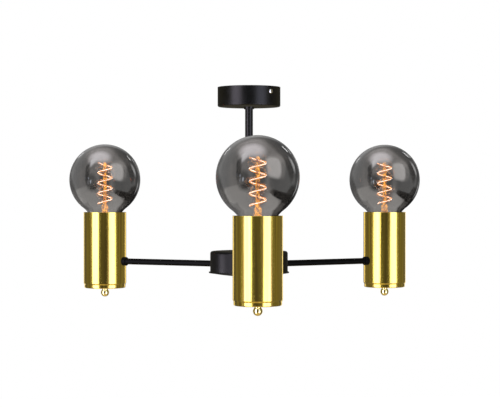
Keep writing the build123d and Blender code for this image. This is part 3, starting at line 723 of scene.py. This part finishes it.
def sweep(
    line: np.ndarray, side: np.ndarray, depth: np.ndarray, width: np.ndarray, sides: int
) -> Surface:
    """Carries an oval along a line.

    At each point of the line the oval lies in the plane of the side direction and of the cross
    product of the tangent with it: the depth is its half size along the first, and the width
    along the second. Fans close both ends.

    Args:
        line: the line's points.
        side: a unit vector at each point, across the line.
        depth: the oval's half size along the side direction, at each point.
        width: its half size the other way.
        sides: the steps round the tube.

    Returns:
        The closed tube, with the length along the line at every face corner.
    """
    tangent = np.gradient(line, axis=0)
    tangent /= np.linalg.norm(tangent, axis=1)[:, None]
    across = side - tangent * np.sum(side * tangent, axis=1)[:, None]
    across /= np.linalg.norm(across, axis=1)[:, None]
    other = np.cross(tangent, across)
    angle = np.arange(sides) * 2 * math.pi / sides
    oval = (across * depth[:, None])[:, None] * np.cos(angle)[None, :, None]
    oval = oval + (other * width[:, None])[:, None] * np.sin(angle)[None, :, None]
    points = (line[:, None] + oval).reshape(-1, 3)
    length = np.concatenate([[0], np.cumsum(np.linalg.norm(np.diff(line, axis=0), axis=1))])
    rows = len(line)
    i, j = np.meshgrid(np.arange(rows - 1), np.arange(sides), indexing="ij")
    ahead = (j + 1) % sides
    here, there = i * sides, (i + 1) * sides
    quads = np.stack([here + j, here + ahead, there + ahead, there + j], axis=-1)
    along = np.stack([length[i], length[i], length[i + 1], length[i + 1]], axis=-1)
    j = np.arange(sides)
    ahead = (j + 1) % sides
    last = (rows - 1) * sides
    low_fan = np.column_stack([np.full(sides, rows * sides), ahead, j])
    high_fan = np.column_stack([np.full(sides, rows * sides + 1), last + j, last + ahead])
    end_lengths = [np.zeros(3 * sides), np.full(3 * sides, length[-1])]
    return Surface(
        np.vstack([points, line[:1], line[-1:]]),
        np.concatenate([quads.ravel(), low_fan.ravel(), high_fan.ravel()]),
        np.concatenate([np.full(quads.size // 4, 4), np.full(2 * sides, 3)]),
        lengths=np.concatenate([along.ravel(), *end_lengths]),
    )


def threaded(
    surface: Surface, pitch: float, depth: float, low: float, high: float, fade: float
) -> Surface:
    """Rolls a right-handed round thread into a turned surface.

    Between the heights low and high each point moves in by half the depth times one plus the
    cosine of its height in pitches less its angle in turns, so the crest climbs one pitch a turn;
    the depth fades in and out over a short height.

    Args:
        surface: the turned surface, about Z.
        pitch: the thread's rise a turn.
        depth: how far the root lies inside the crest.
        low: where the thread starts.
        high: where it ends.
        fade: the height over which it fades in and out.

    Returns:
        The threaded surface, which is shaded by its faces' own smooth normals.
    """
    x, y, z = surface.points.T
    radius = np.hypot(x, y)
    phase = 2 * math.pi * z / pitch - np.arctan2(y, x)
    strength = np.clip((z - low) / fade, 0, 1) * np.clip((high - z) / fade, 0, 1)
    inward = strength * depth / 2 * (1 + np.cos(phase))
    scale = np.where(radius > POLE_RADIUS, 1 - inward / np.maximum(radius, POLE_RADIUS), 1)
    points = np.column_stack([x * scale, y * scale, z])
    return Surface(points, surface.corners, surface.sizes)


# The light's own pieces


def lamp_axis(number: int) -> tuple[float, float]:
    """Gives the (x, y) of a lamp's axis, from the middle of its contact.

    Args:
        number: the lamp's number.

    Returns:
        The axis's place.
    """
    low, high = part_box(f"bulb_{number}_tip")
    return (low.x + high.x) / 2, (low.y + high.y) / 2


@dataclass
class Globe:
    """The lamp's blown globe with its neck: a thin closed wall."""

    wall: float = 0.9 * MM
    neck_arc_radius: float = 30.0 * MM
    neck_radius: float = 17.0 * MM
    shoulder_radius: float = 3.4 * MM
    foot_radius: float = 12.7 * MM
    sides: int = 128
    neck_step: float = 3.0
    ball_step: float = 2.5

    def outline(self, low: float, high: float) -> Profile:
        """Draws the wall's section.

        Args:
            low: the height of the glass's foot, inside the cap.
            high: the globe's top.

        Returns:
            The outline: up the outside by shoulder, neck arc and ball, and back down the inside.
        """
        ball_low, ball_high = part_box("bulb_1_glass")
        ball = (ball_high.x - ball_low.x) / 2
        centre = high - ball
        arc_x = self.neck_radius + self.neck_arc_radius
        neck_z = centre - math.sqrt((ball + self.neck_arc_radius) ** 2 - arc_x**2)
        touch = math.degrees(math.atan2(centre - neck_z, arc_x))
        ledge = neck_z - self.shoulder_radius
        shoulder_x = self.neck_radius - self.shoulder_radius
        inner_foot = self.foot_radius - self.wall
        outline = Profile(inner_foot, low).line(self.foot_radius, low).line(self.foot_radius, ledge)
        outline.line(shoulder_x, ledge).arc((shoulder_x, neck_z), 90)
        outline.arc((arc_x, neck_z), -touch, self.neck_step)
        outline.arc((0, centre), 90 + touch, self.ball_step)
        outline.line(0, high - self.wall).arc((0, centre), -90 - touch, self.ball_step)
        outline.arc((arc_x, neck_z), touch, self.neck_step).arc((shoulder_x, neck_z), -90)
        outline.line(inner_foot, ledge + self.wall)
        return outline.line(inner_foot, low)

    def build(self, number: int) -> None:
        """Builds one lamp's globe; the light goes through it, so it casts no shadow.

        Args:
            number: the lamp's number.
        """
        node = f"bulb_{number}_glass"
        low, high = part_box(node)
        surface = revolve(self.outline(low.z, high.z), self.sides).moved(*lamp_axis(number))
        film = FINISHES[Slot.SMOKE]
        globe = surface.made(f"globe_{number}", f"bulb_{number}", film, Slot.SMOKE, (node,))
        globe.visible_shadow = False


@dataclass
class Spiral:
    """The lamp's soft spiral filament: a white-hot strip of chips, proud of an orange sleeve.

    The coil stands inside the solid's by the inset, to be as wide as it looks through the glass.
    """

    wire: float = 1.9 * MM
    sleeve_depth: float = 1.6 * MM
    sleeve_width: float = 2.2 * MM
    strip_depth: float = 1.9 * MM
    strip_width: float = 1.1 * MM
    inset: float = 0.6 * MM
    pitch: float = 13.9 * MM
    turns: int = 4
    start_angle: float = 175.0
    steps_a_turn: int = 72
    sleeve_sides: int = 20
    strip_sides: int = 12
    end_steps: int = 4
    end_share: float = 0.3

    def line(self, number: int) -> tuple[np.ndarray, np.ndarray]:
        """Gives the helix's points and their outward directions.

        The point after an angle a lies at the coil's radius in the direction of the start angle
        plus a, and has climbed a pitch for every full turn of a.

        Args:
            number: the lamp's number.

        Returns:
            The points and the directions, as arrays of rows.
        """
        low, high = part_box(f"bulb_{number}_filament")
        radius = (high.x - low.x - self.wire) / 2 - self.inset
        angle = np.linspace(0, 2 * math.pi * self.turns, self.turns * self.steps_a_turn + 1)
        turn = angle + math.radians(self.start_angle)
        outward = np.column_stack([np.cos(turn), np.sin(turn), np.zeros(len(turn))])
        rise = (low.z + high.z) / 2 + self.pitch * (angle / (2 * math.pi) - self.turns / 2)
        middle = np.column_stack([np.tile(lamp_axis(number), (len(turn), 1)), rise])
        return outward * radius + middle, outward

    def build(self, number: int) -> None:
        """Builds one lamp's filament, which lights its own globe and stem alone.

        The last few steps at each end round off as a quarter of a circle does.

        Args:
            number: the lamp's number.
        """
        line, outward = self.line(number)
        from_end = np.minimum(np.arange(len(line)), np.arange(len(line))[::-1])
        rounding = np.sqrt(1 - (1 - np.clip(from_end / self.end_steps, 0, 1)) ** 2)
        taper = self.end_share + (1 - self.end_share) * rounding
        own = [bpy.data.objects[f"globe_{number}"], frame["nodes"][f"bulb_{number}_stem"]]

        def strand(
            name: str, glow: Finish, depth: float, width: float, sides: int, *replaced: str
        ) -> None:
            """Carries one oval along the coil and lets it light its own lamp alone."""
            tube = sweep(line, outward, depth / 2 * taper, width / 2 * taper, sides)
            lit = tube.made(f"{name}_{number}", f"bulb_{number}", glow, Slot.FILAMENT, replaced)
            lights_only(lit, own)

        sleeve = (self.sleeve_depth, self.sleeve_width, self.sleeve_sides)
        strip = (self.strip_depth, self.strip_width, self.strip_sides)
        strand("spiral_sleeve", FINISHES[Slot.FILAMENT], *sleeve, f"bulb_{number}_filament")
        strand("spiral_chips", LIT_CHIPS, *strip)


@dataclass
class ScrewCap:
    """The lamp's rolled screw cap, with its black glass insulator."""

    sheet: float = 0.3 * MM
    pitch: float = 3.629 * MM
    depth: float = 1.1 * MM
    collar: float = 4.5 * MM
    shell_length: float = 22.0 * MM
    cone_radius: float = 5.25 * MM
    parts_a_pitch: int = 14
    collar_parts: int = 4
    sides: int = 72
    cone_sides: int = 48

    def build(self, number: int) -> None:
        """Builds one lamp's cap: the threaded shell and the insulator below it.

        Args:
            number: the lamp's number.
        """
        node = f"bulb_{number}_cap"
        low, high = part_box(node)
        radius = (high.x - low.x) / 2
        root = radius - self.depth
        bottom = high.z - self.shell_length
        thread_top = high.z - self.collar
        parts = math.ceil((thread_top - bottom) / self.pitch * self.parts_a_pitch)
        inner = radius - self.sheet
        shell = Profile(root - self.sheet, bottom).line(radius, bottom)
        shell.line(radius, thread_top, parts).line(radius, high.z, self.collar_parts)
        shell.line(inner, high.z).line(inner, thread_top, self.collar_parts)
        shell.line(inner, bottom + self.sheet, parts).line(root - self.sheet, bottom)
        axis = lamp_axis(number)
        body = f"bulb_{number}"
        turned = revolve(shell, self.sides)
        cap = threaded(turned, self.pitch, self.depth, bottom, thread_top, self.pitch / 2)
        cap.moved(*axis).made(f"screw_cap_{number}", body, FINISHES[Slot.CAP], Slot.CAP, (node,))
        rim = root - 2 * self.sheet
        cone = Profile(0, low.z).line(self.cone_radius, low.z).line(rim, bottom - self.sheet)
        cone.line(rim, bottom + self.sheet).line(0, bottom + self.sheet)
        insulator = revolve(cone, self.cone_sides).moved(*axis)
        insulator.made(f"cap_insulator_{number}", body, CAP_GLASS, Slot.PHENOLIC, ())


@dataclass
class CupBase:
    """The turned base of a brass cup: a flange, whose chamfer is a golden line, and a plug."""

    seam: float = 0.1 * MM
    flange_edge: float = 0.1 * MM
    chamfer: float = 1.6 * MM
    lower_edge: float = 1.4 * MM
    spigot_radius: float = 26.5 * MM
    bore_radius: float = 2.2 * MM
    sides: int = 128
    edge_step: float = 10.0

    def build(self, number: int) -> None:
        """Builds one cup's base.

        Args:
            number: the lamp's number.
        """
        node = f"cup_base_{number}"
        low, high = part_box(node)
        tube_low, tube_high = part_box(f"cup_tube_{number}")
        radius = (high.x - low.x) / 2
        flange = (tube_high.x - tube_low.x) / 2
        shoulder = tube_low.z - self.seam
        corner = (radius - self.lower_edge, low.z + self.lower_edge)
        edge = Profile(self.bore_radius, low.z).line(radius - self.lower_edge, low.z)
        edge.arc(corner, 90, self.edge_step)
        edge.line(radius, shoulder - self.flange_edge - self.chamfer)
        edge.line(flange, shoulder - self.flange_edge).line(flange, shoulder)
        edge.line(self.spigot_radius, shoulder).line(self.spigot_radius, high.z)
        edge.line(self.bore_radius, high.z).line(self.bore_radius, low.z)
        base = revolve(edge, self.sides).moved(*lamp_axis(number))
        base.made(f"turned_base_{number}", "root", FINISHES[Slot.BRASS], Slot.BRASS, (node,))


def lights_only(source: bpy.types.Object, receivers: list[bpy.types.Object]) -> None:
    """Lets a lamp or a lit piece light, and show in, only some pieces.

    Args:
        source: the lamp or the lit piece.
        receivers: the pieces that it lights.
    """
    group = bpy.data.collections.new(source.name)
    for receiver in receivers:
        group.objects.link(receiver)
    source.light_linking.receiver_collection = group


def hide_from_mirrors() -> None:
    """Keeps all but the filaments out of reflections, so that brass and film show the plain studio."""
    for piece in bpy.context.scene.objects:
        if piece.type == "MESH" and not piece.name.startswith("spiral_"):
            piece.visible_glossy = False


def dress_nodes() -> None:
    """Gives every carried-over CAD node the finish of its slot."""
    for subpart in frame["record"]["subparts"]:
        node = frame["nodes"][subpart["node"]]
        node.data.materials.clear()
        finish = NODE_FINISHES.get(subpart["node"], FINISHES[Slot(subpart["material_slot"])])
        node.data.materials.append(finish.material())
        log.info("%s: %s", node.name, subpart["material_slot"])


# Studio


def facing(azimuth: float, elevation: float, roll: float = 0.0) -> tuple[Vector, Vector, Vector]:
    """Gives the right, up and forward directions of a panel seen from the middle of the set.

    Args:
        azimuth: degrees from the camera's side, positive to the picture's right.
        elevation: degrees above the horizon.
        roll: degrees that the panel is turned in its own plane.

    Returns:
        Three unit vectors.
    """
    turn, lift, lean = (math.radians(angle) for angle in (azimuth, elevation, roll))
    ahead = Vector((math.sin(turn), -math.cos(turn), 0))
    forward = ahead * math.cos(lift) + Vector((0, 0, math.sin(lift)))
    level = Vector((math.cos(turn), math.sin(turn), 0))
    upright = level.cross(forward) * -1
    right = level * math.cos(lean) + upright * math.sin(lean)
    return right, right.cross(forward) * -1, forward


@dataclass(frozen=True)
class Panel:
    """A light or dark panel of a room, as mirrors see it.

    Its place and half sizes are in degrees, its edge is the share of its size that is blurred,
    and its squareness is 2 for a round panel and more for a square one.
    """

    azimuth: float
    elevation: float
    half_width: float
    half_height: float
    level: tuple[float, float, float]
    edge: float = 0.3
    roll: float = 0.0
    squareness: float = 8.0


@dataclass(frozen=True)
class Room:
    """What one kind of mirror sees: a wall colour with panels over it."""

    wall: tuple[float, float, float]
    panels: tuple[Panel, ...]

    def build(self, tree: bpy.types.NodeTree, direction: Any) -> Any:
        """Lays the panels over the wall, the last one on top.

        Args:
            tree: the world's node tree.
            direction: the output socket of the direction that is looked in.

        Returns:
            The colour's output socket.
        """
        colour = add_node(tree, "ShaderNodeCombineColor", dict(enumerate(self.wall))).outputs[0]
        for panel in self.panels:
            right, up, forward = facing(panel.azimuth, panel.elevation, panel.roll)
            inputs = {
                "Direction": direction,
                "Right": right / math.tan(math.radians(panel.half_width)),
                "Up": up / math.tan(math.radians(panel.half_height)),
                "Forward": forward,
                "Squareness": panel.squareness,
                "Edge": panel.edge,
                "Under": colour,
                "Light": (*panel.level, 1.0),
            }
            laid = add_node(tree, "ShaderNodeGroup", inputs, node_tree=panel_group())
            colour = laid.outputs["Colour"]
        return colour


def panel_group() -> bpy.types.NodeTree:
    """Gives the node group that lays one panel over a colour, made once.

    A direction's two slopes against the panel's middle are scaled to 1 at its edges; their
    power mean, with a high power for a square panel and 2 for a round one, is 1 on its outline.

    Returns:
        The node group.
    """
    group = bpy.data.node_groups.get("studio_panel")
    if group is not None:
        return group
    group = bpy.data.node_groups.new("studio_panel", "ShaderNodeTree")
    sockets = {"Direction": "Vector", "Right": "Vector", "Up": "Vector", "Forward": "Vector"}
    sockets |= {"Squareness": "Float", "Edge": "Float", "Under": "Color", "Light": "Color"}
    for name, kind in sockets.items():
        group.interface.new_socket(name, in_out="INPUT", socket_type=f"NodeSocket{kind}")
    group.interface.new_socket("Colour", in_out="OUTPUT", socket_type="NodeSocketColor")
    given = add_node(group, "NodeGroupInput").outputs

    def maths(operation: str, first: Any, second: Any = 0.0) -> Any:
        """Adds one sum and gives its output."""
        inputs = {0: first, 1: second}
        return add_node(group, "ShaderNodeMath", inputs, operation=operation).outputs[0]

    def slope(axis: str) -> Any:
        """Gives the direction's share along one of the panel's axes."""
        inputs = {0: given["Direction"], 1: given[axis]}
        product = add_node(group, "ShaderNodeVectorMath", inputs, operation="DOT_PRODUCT")
        return product.outputs["Value"]

    ahead = maths("MAXIMUM", slope("Forward"), LEAST_FORWARD)

    def power(axis: str) -> Any:
        """Raises the size of one of the two slopes to the panel's power."""
        size = maths("ABSOLUTE", maths("DIVIDE", slope(axis), ahead))
        return maths("POWER", size, given["Squareness"])

    total = maths("ADD", power("Right"), power("Up"))
    limits = {
        "Value": maths("POWER", total, maths("DIVIDE", 1.0, given["Squareness"])),
        "From Min": maths("ADD", 1.0, given["Edge"]),
        "From Max": maths("SUBTRACT", 1.0, given["Edge"]),
    }
    inside = add_node(group, "ShaderNodeMapRange", limits, interpolation_type="SMOOTHSTEP")
    inputs = {MIX_FIRST: given["Under"], MIX_SECOND: given["Light"]}
    inputs |= {MIX_SHARE: inside.outputs["Result"]}
    mix = add_node(group, "ShaderNodeMix", inputs, data_type="RGBA")
    add_node(group, "NodeGroupOutput", {"Colour": mix.outputs[MIX_COLOUR]})
    return group


def grey(level: float) -> tuple[float, float, float]:
    """A neutral light of one level."""
    return (level, level, level)


# What brass and paint mirror: a dim wall, two tall bright cards left and right of the camera,
# each in a softer frame, weaker cards at the sides, a lit ceiling and a golden floor.
METAL_ROOM = Room(
    wall=(0.115, 0.107, 0.082),
    panels=(
        Panel(0, 88, 32, 32, grey(1.6), edge=0.6, squareness=2),
        Panel(0, -88, 58, 54, (0.66, 0.52, 0.3), edge=0.3, squareness=2),
        Panel(-105, 0, 28, 50, (0.2, 0.18, 0.11), edge=0.3),
        Panel(105, 0, 28, 50, (0.2, 0.18, 0.11), edge=0.3),
        Panel(-54.5, 0, 26, 52, (0.46, 0.43, 0.3), edge=0.15),
        Panel(44.5, 0, 27, 52, (0.46, 0.43, 0.3), edge=0.15),
        Panel(-50.5, 0, 17.5, 50, (4.5, 4.3, 5.6), edge=0.12),
        Panel(42.5, 22, 18.5, 22, (1.4, 1.6, 2.0), edge=0.2),
        Panel(42.5, -17, 18.5, 21, (3.8, 3.8, 5.3), edge=0.12),
    ),
)

# What the globes mirror: a mid-grey studio, dark behind, with a window high on the left, a pale
# card on the right, a pale floor and small lights at the rims.
GLASS_ROOM = Room(
    wall=(0.46, 0.44, 0.43),
    panels=(
        Panel(180, 0, 60, 50, grey(0.15), edge=0.4, squareness=2),
        Panel(-115, 0, 30, 50, grey(0.36), edge=0.4, squareness=2),
        Panel(130, 40, 28, 24, grey(0.12), edge=0.4, squareness=2),
        Panel(-165, 30, 26, 12, grey(0.45), edge=0.5, squareness=2),
        Panel(130, -6, 20, 24, grey(0.1), edge=0.4, squareness=2),
        Panel(0, -82, 43, 41, (0.66, 0.64, 0.62), edge=0.06, squareness=2),
        Panel(-85, -36, 38, 17, (0.66, 0.64, 0.62), edge=0.15, squareness=4),
        Panel(4, -52, 13, 34, (0.36, 0.28, 0.27), edge=0.7, squareness=2),
        Panel(-146, -14, 24, 18, grey(0.1), edge=0.4, squareness=2),
        Panel(75, -5, 46, 36, grey(0.24), edge=0.25, squareness=3),
        Panel(2, -4, 17, 32, grey(0.2), edge=0.5, squareness=2),
        Panel(-42, -9, 19, 25, grey(0.16), edge=0.45, squareness=2),
        Panel(-45, 76, 26, 20, (1.7, 1.62, 1.66), edge=0.6, squareness=2),
        Panel(-60, 54, 8, 17, (1.9, 1.85, 1.9), edge=0.6, squareness=2),
        Panel(-66, 34, 6, 14, grey(0.12), edge=0.5, roll=12, squareness=2),
        Panel(-58, 12, 7, 22, grey(0.08), edge=0.5, squareness=2),
        Panel(-36, -22, 13, 7, grey(0.05), edge=0.5, roll=15, squareness=2),
        Panel(-44, -6, 2.0, 5, (1.2, 1.3, 1.5), edge=0.7, roll=-15, squareness=2),
        Panel(-52, 4, 1.8, 3, (0.7, 0.75, 0.9), edge=0.7, squareness=2),
        Panel(46, 24, 21, 26, (1.2, 1.16, 1.14), edge=0.25, roll=-12, squareness=4),
        Panel(103, 16, 13, 22, grey(0.06), edge=0.4, squareness=2),
        Panel(122, 17, 6, 10, grey(0.85), edge=0.6, squareness=2),
        Panel(80, -39, 32, 8, grey(0.01), edge=0.2, roll=6, squareness=4),
        Panel(138, -30, 34, 20, grey(0.01), edge=0.2, squareness=3),
        Panel(140, -10, 2.5, 8, grey(0.7), edge=0.5, squareness=2),
        Panel(142.4, 30.6, 4.6, 0.9, grey(5.0), edge=0.2, roll=32),
        Panel(152, 19.5, 2.6, 0.7, grey(2.0), edge=0.2, roll=20),
        Panel(-154, 23, 0.9, 4.1, grey(3.0), edge=0.2, roll=12),
    ),
)


@dataclass
class Softbox:
    """A large soft lamp that faces the light's middle.

    Only matt surfaces feel it, unless it is a card for some pieces only, which then mirror it.
    """

    name: str
    azimuth: float
    height: float
    distance: float
    width: float
    length: float
    radiance: float
    colour: tuple[float, float, float] = (1.0, 1.0, 1.0)
    only: tuple[str, ...] = ()

    def build(self, middle: Vector) -> None:
        """Builds the lamp; its power is its radiance times pi times its area.

        Args:
            middle: the point that it faces.
        """
        lamp = bpy.data.lights.new(self.name, "AREA")
        lamp.shape = "RECTANGLE"
        lamp.size = self.width
        lamp.size_y = self.length
        lamp.color = self.colour
        lamp.energy = self.radiance * math.pi * self.width * self.length
        holder = bpy.data.objects.new(self.name, lamp)
        bpy.context.scene.collection.objects.link(holder)
        turn = math.radians(self.azimuth)
        along = Vector((math.sin(turn), -math.cos(turn), 0)) * self.distance
        holder.location = along + Vector((0, 0, self.height))
        holder.rotation_euler = (middle - holder.location).to_track_quat("-Z", "Y").to_euler()
        holder.visible_camera = False
        holder.visible_glossy = bool(self.only)
        holder.visible_transmission = False
        if self.only:
            lights_only(holder, [bpy.data.objects[name] for name in self.only])


BRASS_PIECES = tuple(
    f"{name}_{number}" for name in ("cup_tube", "turned_base", "ball_finial") for number in LAMPS
)
GOLD = (1.0, 0.82, 0.38)
COOL = (1.0, 0.96, 1.2)

# Two softboxes and a top light, then a card that draws the hub's one soft streak, and two cards
# behind the light that gild the cups' edges.
LIGHTS = (
    Softbox("left_softbox", -47.5, -0.1, 2.2, 1.65, 2.4, 1.5),
    Softbox("right_softbox", 47.5, -0.1, 2.2, 1.65, 2.4, 1.5),
    Softbox("top_softbox", 10.0, 2.2, 0.9, 1.4, 0.9, 1.2),
    Softbox("hub_card", -88.0, -0.78, 1.6, 0.5, 1.0, 18.0, COOL, ("hub_cup",)),
    Softbox("left_gold_card", -155.0, -0.3, 3.0, 1.05, 2.2, 1.2, GOLD, BRASS_PIECES),
    Softbox("right_gold_card", 155.0, -0.3, 3.0, 1.05, 2.2, 1.2, GOLD, BRASS_PIECES),
)


@dataclass
class Studio:
    """A pale floor, a white surround, soft lamps and the camera.

    The camera's numbers are in pixels of a picture 500 wide: its focal length, the column where
    the rod stands and the row of the horizon.
    """

    floor_z: float = -0.95
    floor_size: float = 8.0
    floor_lift: float = 0.66
    paper: float = 0.8
    fill: float = 0.45
    middle_z: float = -0.16
    eye_z: float = -0.1351
    distance: float = 1.900
    turn: float = 2.6
    focal_px: float = 1488.9
    rod_px: float = 249.0
    horizon_px: float = 193.2
    image_px: tuple[float, float] = (500.0, 408.0)
    sensor: float = 36.0

    def camera(self) -> None:
        """Sets the camera level with the globes, the front lamp a little right of the rod."""
        camera = bpy.data.cameras.new("camera")
        camera.sensor_width = self.sensor
        camera.lens = self.focal_px * self.sensor / self.image_px[0]
        holder = bpy.data.objects.new("camera", camera)
        bpy.context.scene.collection.objects.link(holder)
        turn = math.radians(self.turn)
        right = Vector((math.cos(turn), -math.sin(turn), 0))
        back = Vector((-math.sin(turn), -math.cos(turn), 0)) * self.distance
        holder.location = back + Vector((0, 0, self.eye_z))
        scale = self.distance / self.focal_px
        target = right * ((self.image_px[0] / 2 - self.rod_px) * scale)
        target.z = self.eye_z - (self.image_px[1] / 2 - self.horizon_px) * scale
        holder.rotation_euler = (target - holder.location).to_track_quat("-Z", "Y").to_euler()
        bpy.context.scene.camera = holder

    def floor(self) -> None:
        """Lays a pale floor that shows white to the camera and keeps the light's soft shadow."""
        half = self.floor_size / 2
        mesh = bpy.data.meshes.new("studio_floor")
        signs = ((-1, -1), (1, -1), (1, 1), (-1, 1))
        corners = [(x * half, y * half, self.floor_z) for x, y in signs]
        mesh.from_pydata(corners, [], [(0, 1, 2, 3)])
        material = bpy.data.materials.new("white_paper_roll")
        material.use_nodes = True
        tree = material.node_tree
        tree.nodes.clear()
        colour = (*grey(self.paper), 1.0)
        paper = add_node(tree, "ShaderNodeBsdfDiffuse", {"Color": colour})
        path = add_node(tree, "ShaderNodeLightPath")
        sums = {0: path.outputs["Is Camera Ray"], 1: self.floor_lift}
        seen = add_node(tree, "ShaderNodeMath", sums, operation="MULTIPLY")
        glow = add_node(tree, "ShaderNodeEmission", {"Strength": seen.outputs[0]})
        both = {0: paper.outputs["BSDF"], 1: glow.outputs["Emission"]}
        surface = add_node(tree, "ShaderNodeAddShader", both).outputs["Shader"]
        add_node(tree, "ShaderNodeOutputMaterial", {"Surface": surface})
        mesh.materials.append(material)
        floor = bpy.data.objects.new("studio_floor", mesh)
        bpy.context.scene.collection.objects.link(floor)
        floor.visible_glossy = False
        floor.visible_transmission = False

    def surround(self) -> None:
        """Sets the world: white to the camera and through glass, an even fill, and two rooms.

        A ray mirrored by a perfectly smooth surface is a singular one, so the globes see the
        glass room, and rough metal and paint see the metal room.
        """
        world = bpy.data.worlds.new("studio")
        bpy.context.scene.world = world
        world.use_nodes = True
        tree = world.node_tree
        tree.nodes.clear()
        path = add_node(tree, "ShaderNodeLightPath").outputs
        direction = add_node(tree, "ShaderNodeTexCoord").outputs["Generated"]

        def light(colour: Any) -> Any:
            """Gives a background of one colour."""
            return add_node(tree, "ShaderNodeBackground", {"Color": colour}).outputs["Background"]

        def choose(kind: str, off: Any, on: Any) -> Any:
            """Takes one background for rays of a kind and another for the rest."""
            inputs = {0: path[kind], 1: off, 2: on}
            return add_node(tree, "ShaderNodeMixShader", inputs).outputs["Shader"]

        metal = light(METAL_ROOM.build(tree, direction))
        glass = light(GLASS_ROOM.build(tree, direction))
        white = light((*grey(1.0), 1.0))
        fill = light((*grey(self.fill), 1.0))
        lit = choose("Is Glossy Ray", fill, choose("Is Singular Ray", metal, glass))
        seen = choose("Is Camera Ray", choose("Is Transmission Ray", lit, white), white)
        add_node(tree, "ShaderNodeOutputWorld", {"Surface": seen})

    def build(self) -> None:
        """Builds the whole studio."""
        self.camera()
        self.floor()
        self.surround()
        for softbox in LIGHTS:
            softbox.build(Vector((0, 0, self.middle_z)))


def main() -> None:
    """Builds every piece and the studio."""
    logging.basicConfig(level=logging.INFO, format="%(message)s")
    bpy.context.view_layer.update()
    bpy.context.scene.view_settings.view_transform = "Standard"
    dress_nodes()
    parts = (Globe(), Spiral(), ScrewCap(), CupBase())
    for number in LAMPS:
        for part in parts:
            part.build(number)
    hide_from_mirrors()
    Studio().build()


if __name__ == "__main__":
    main()
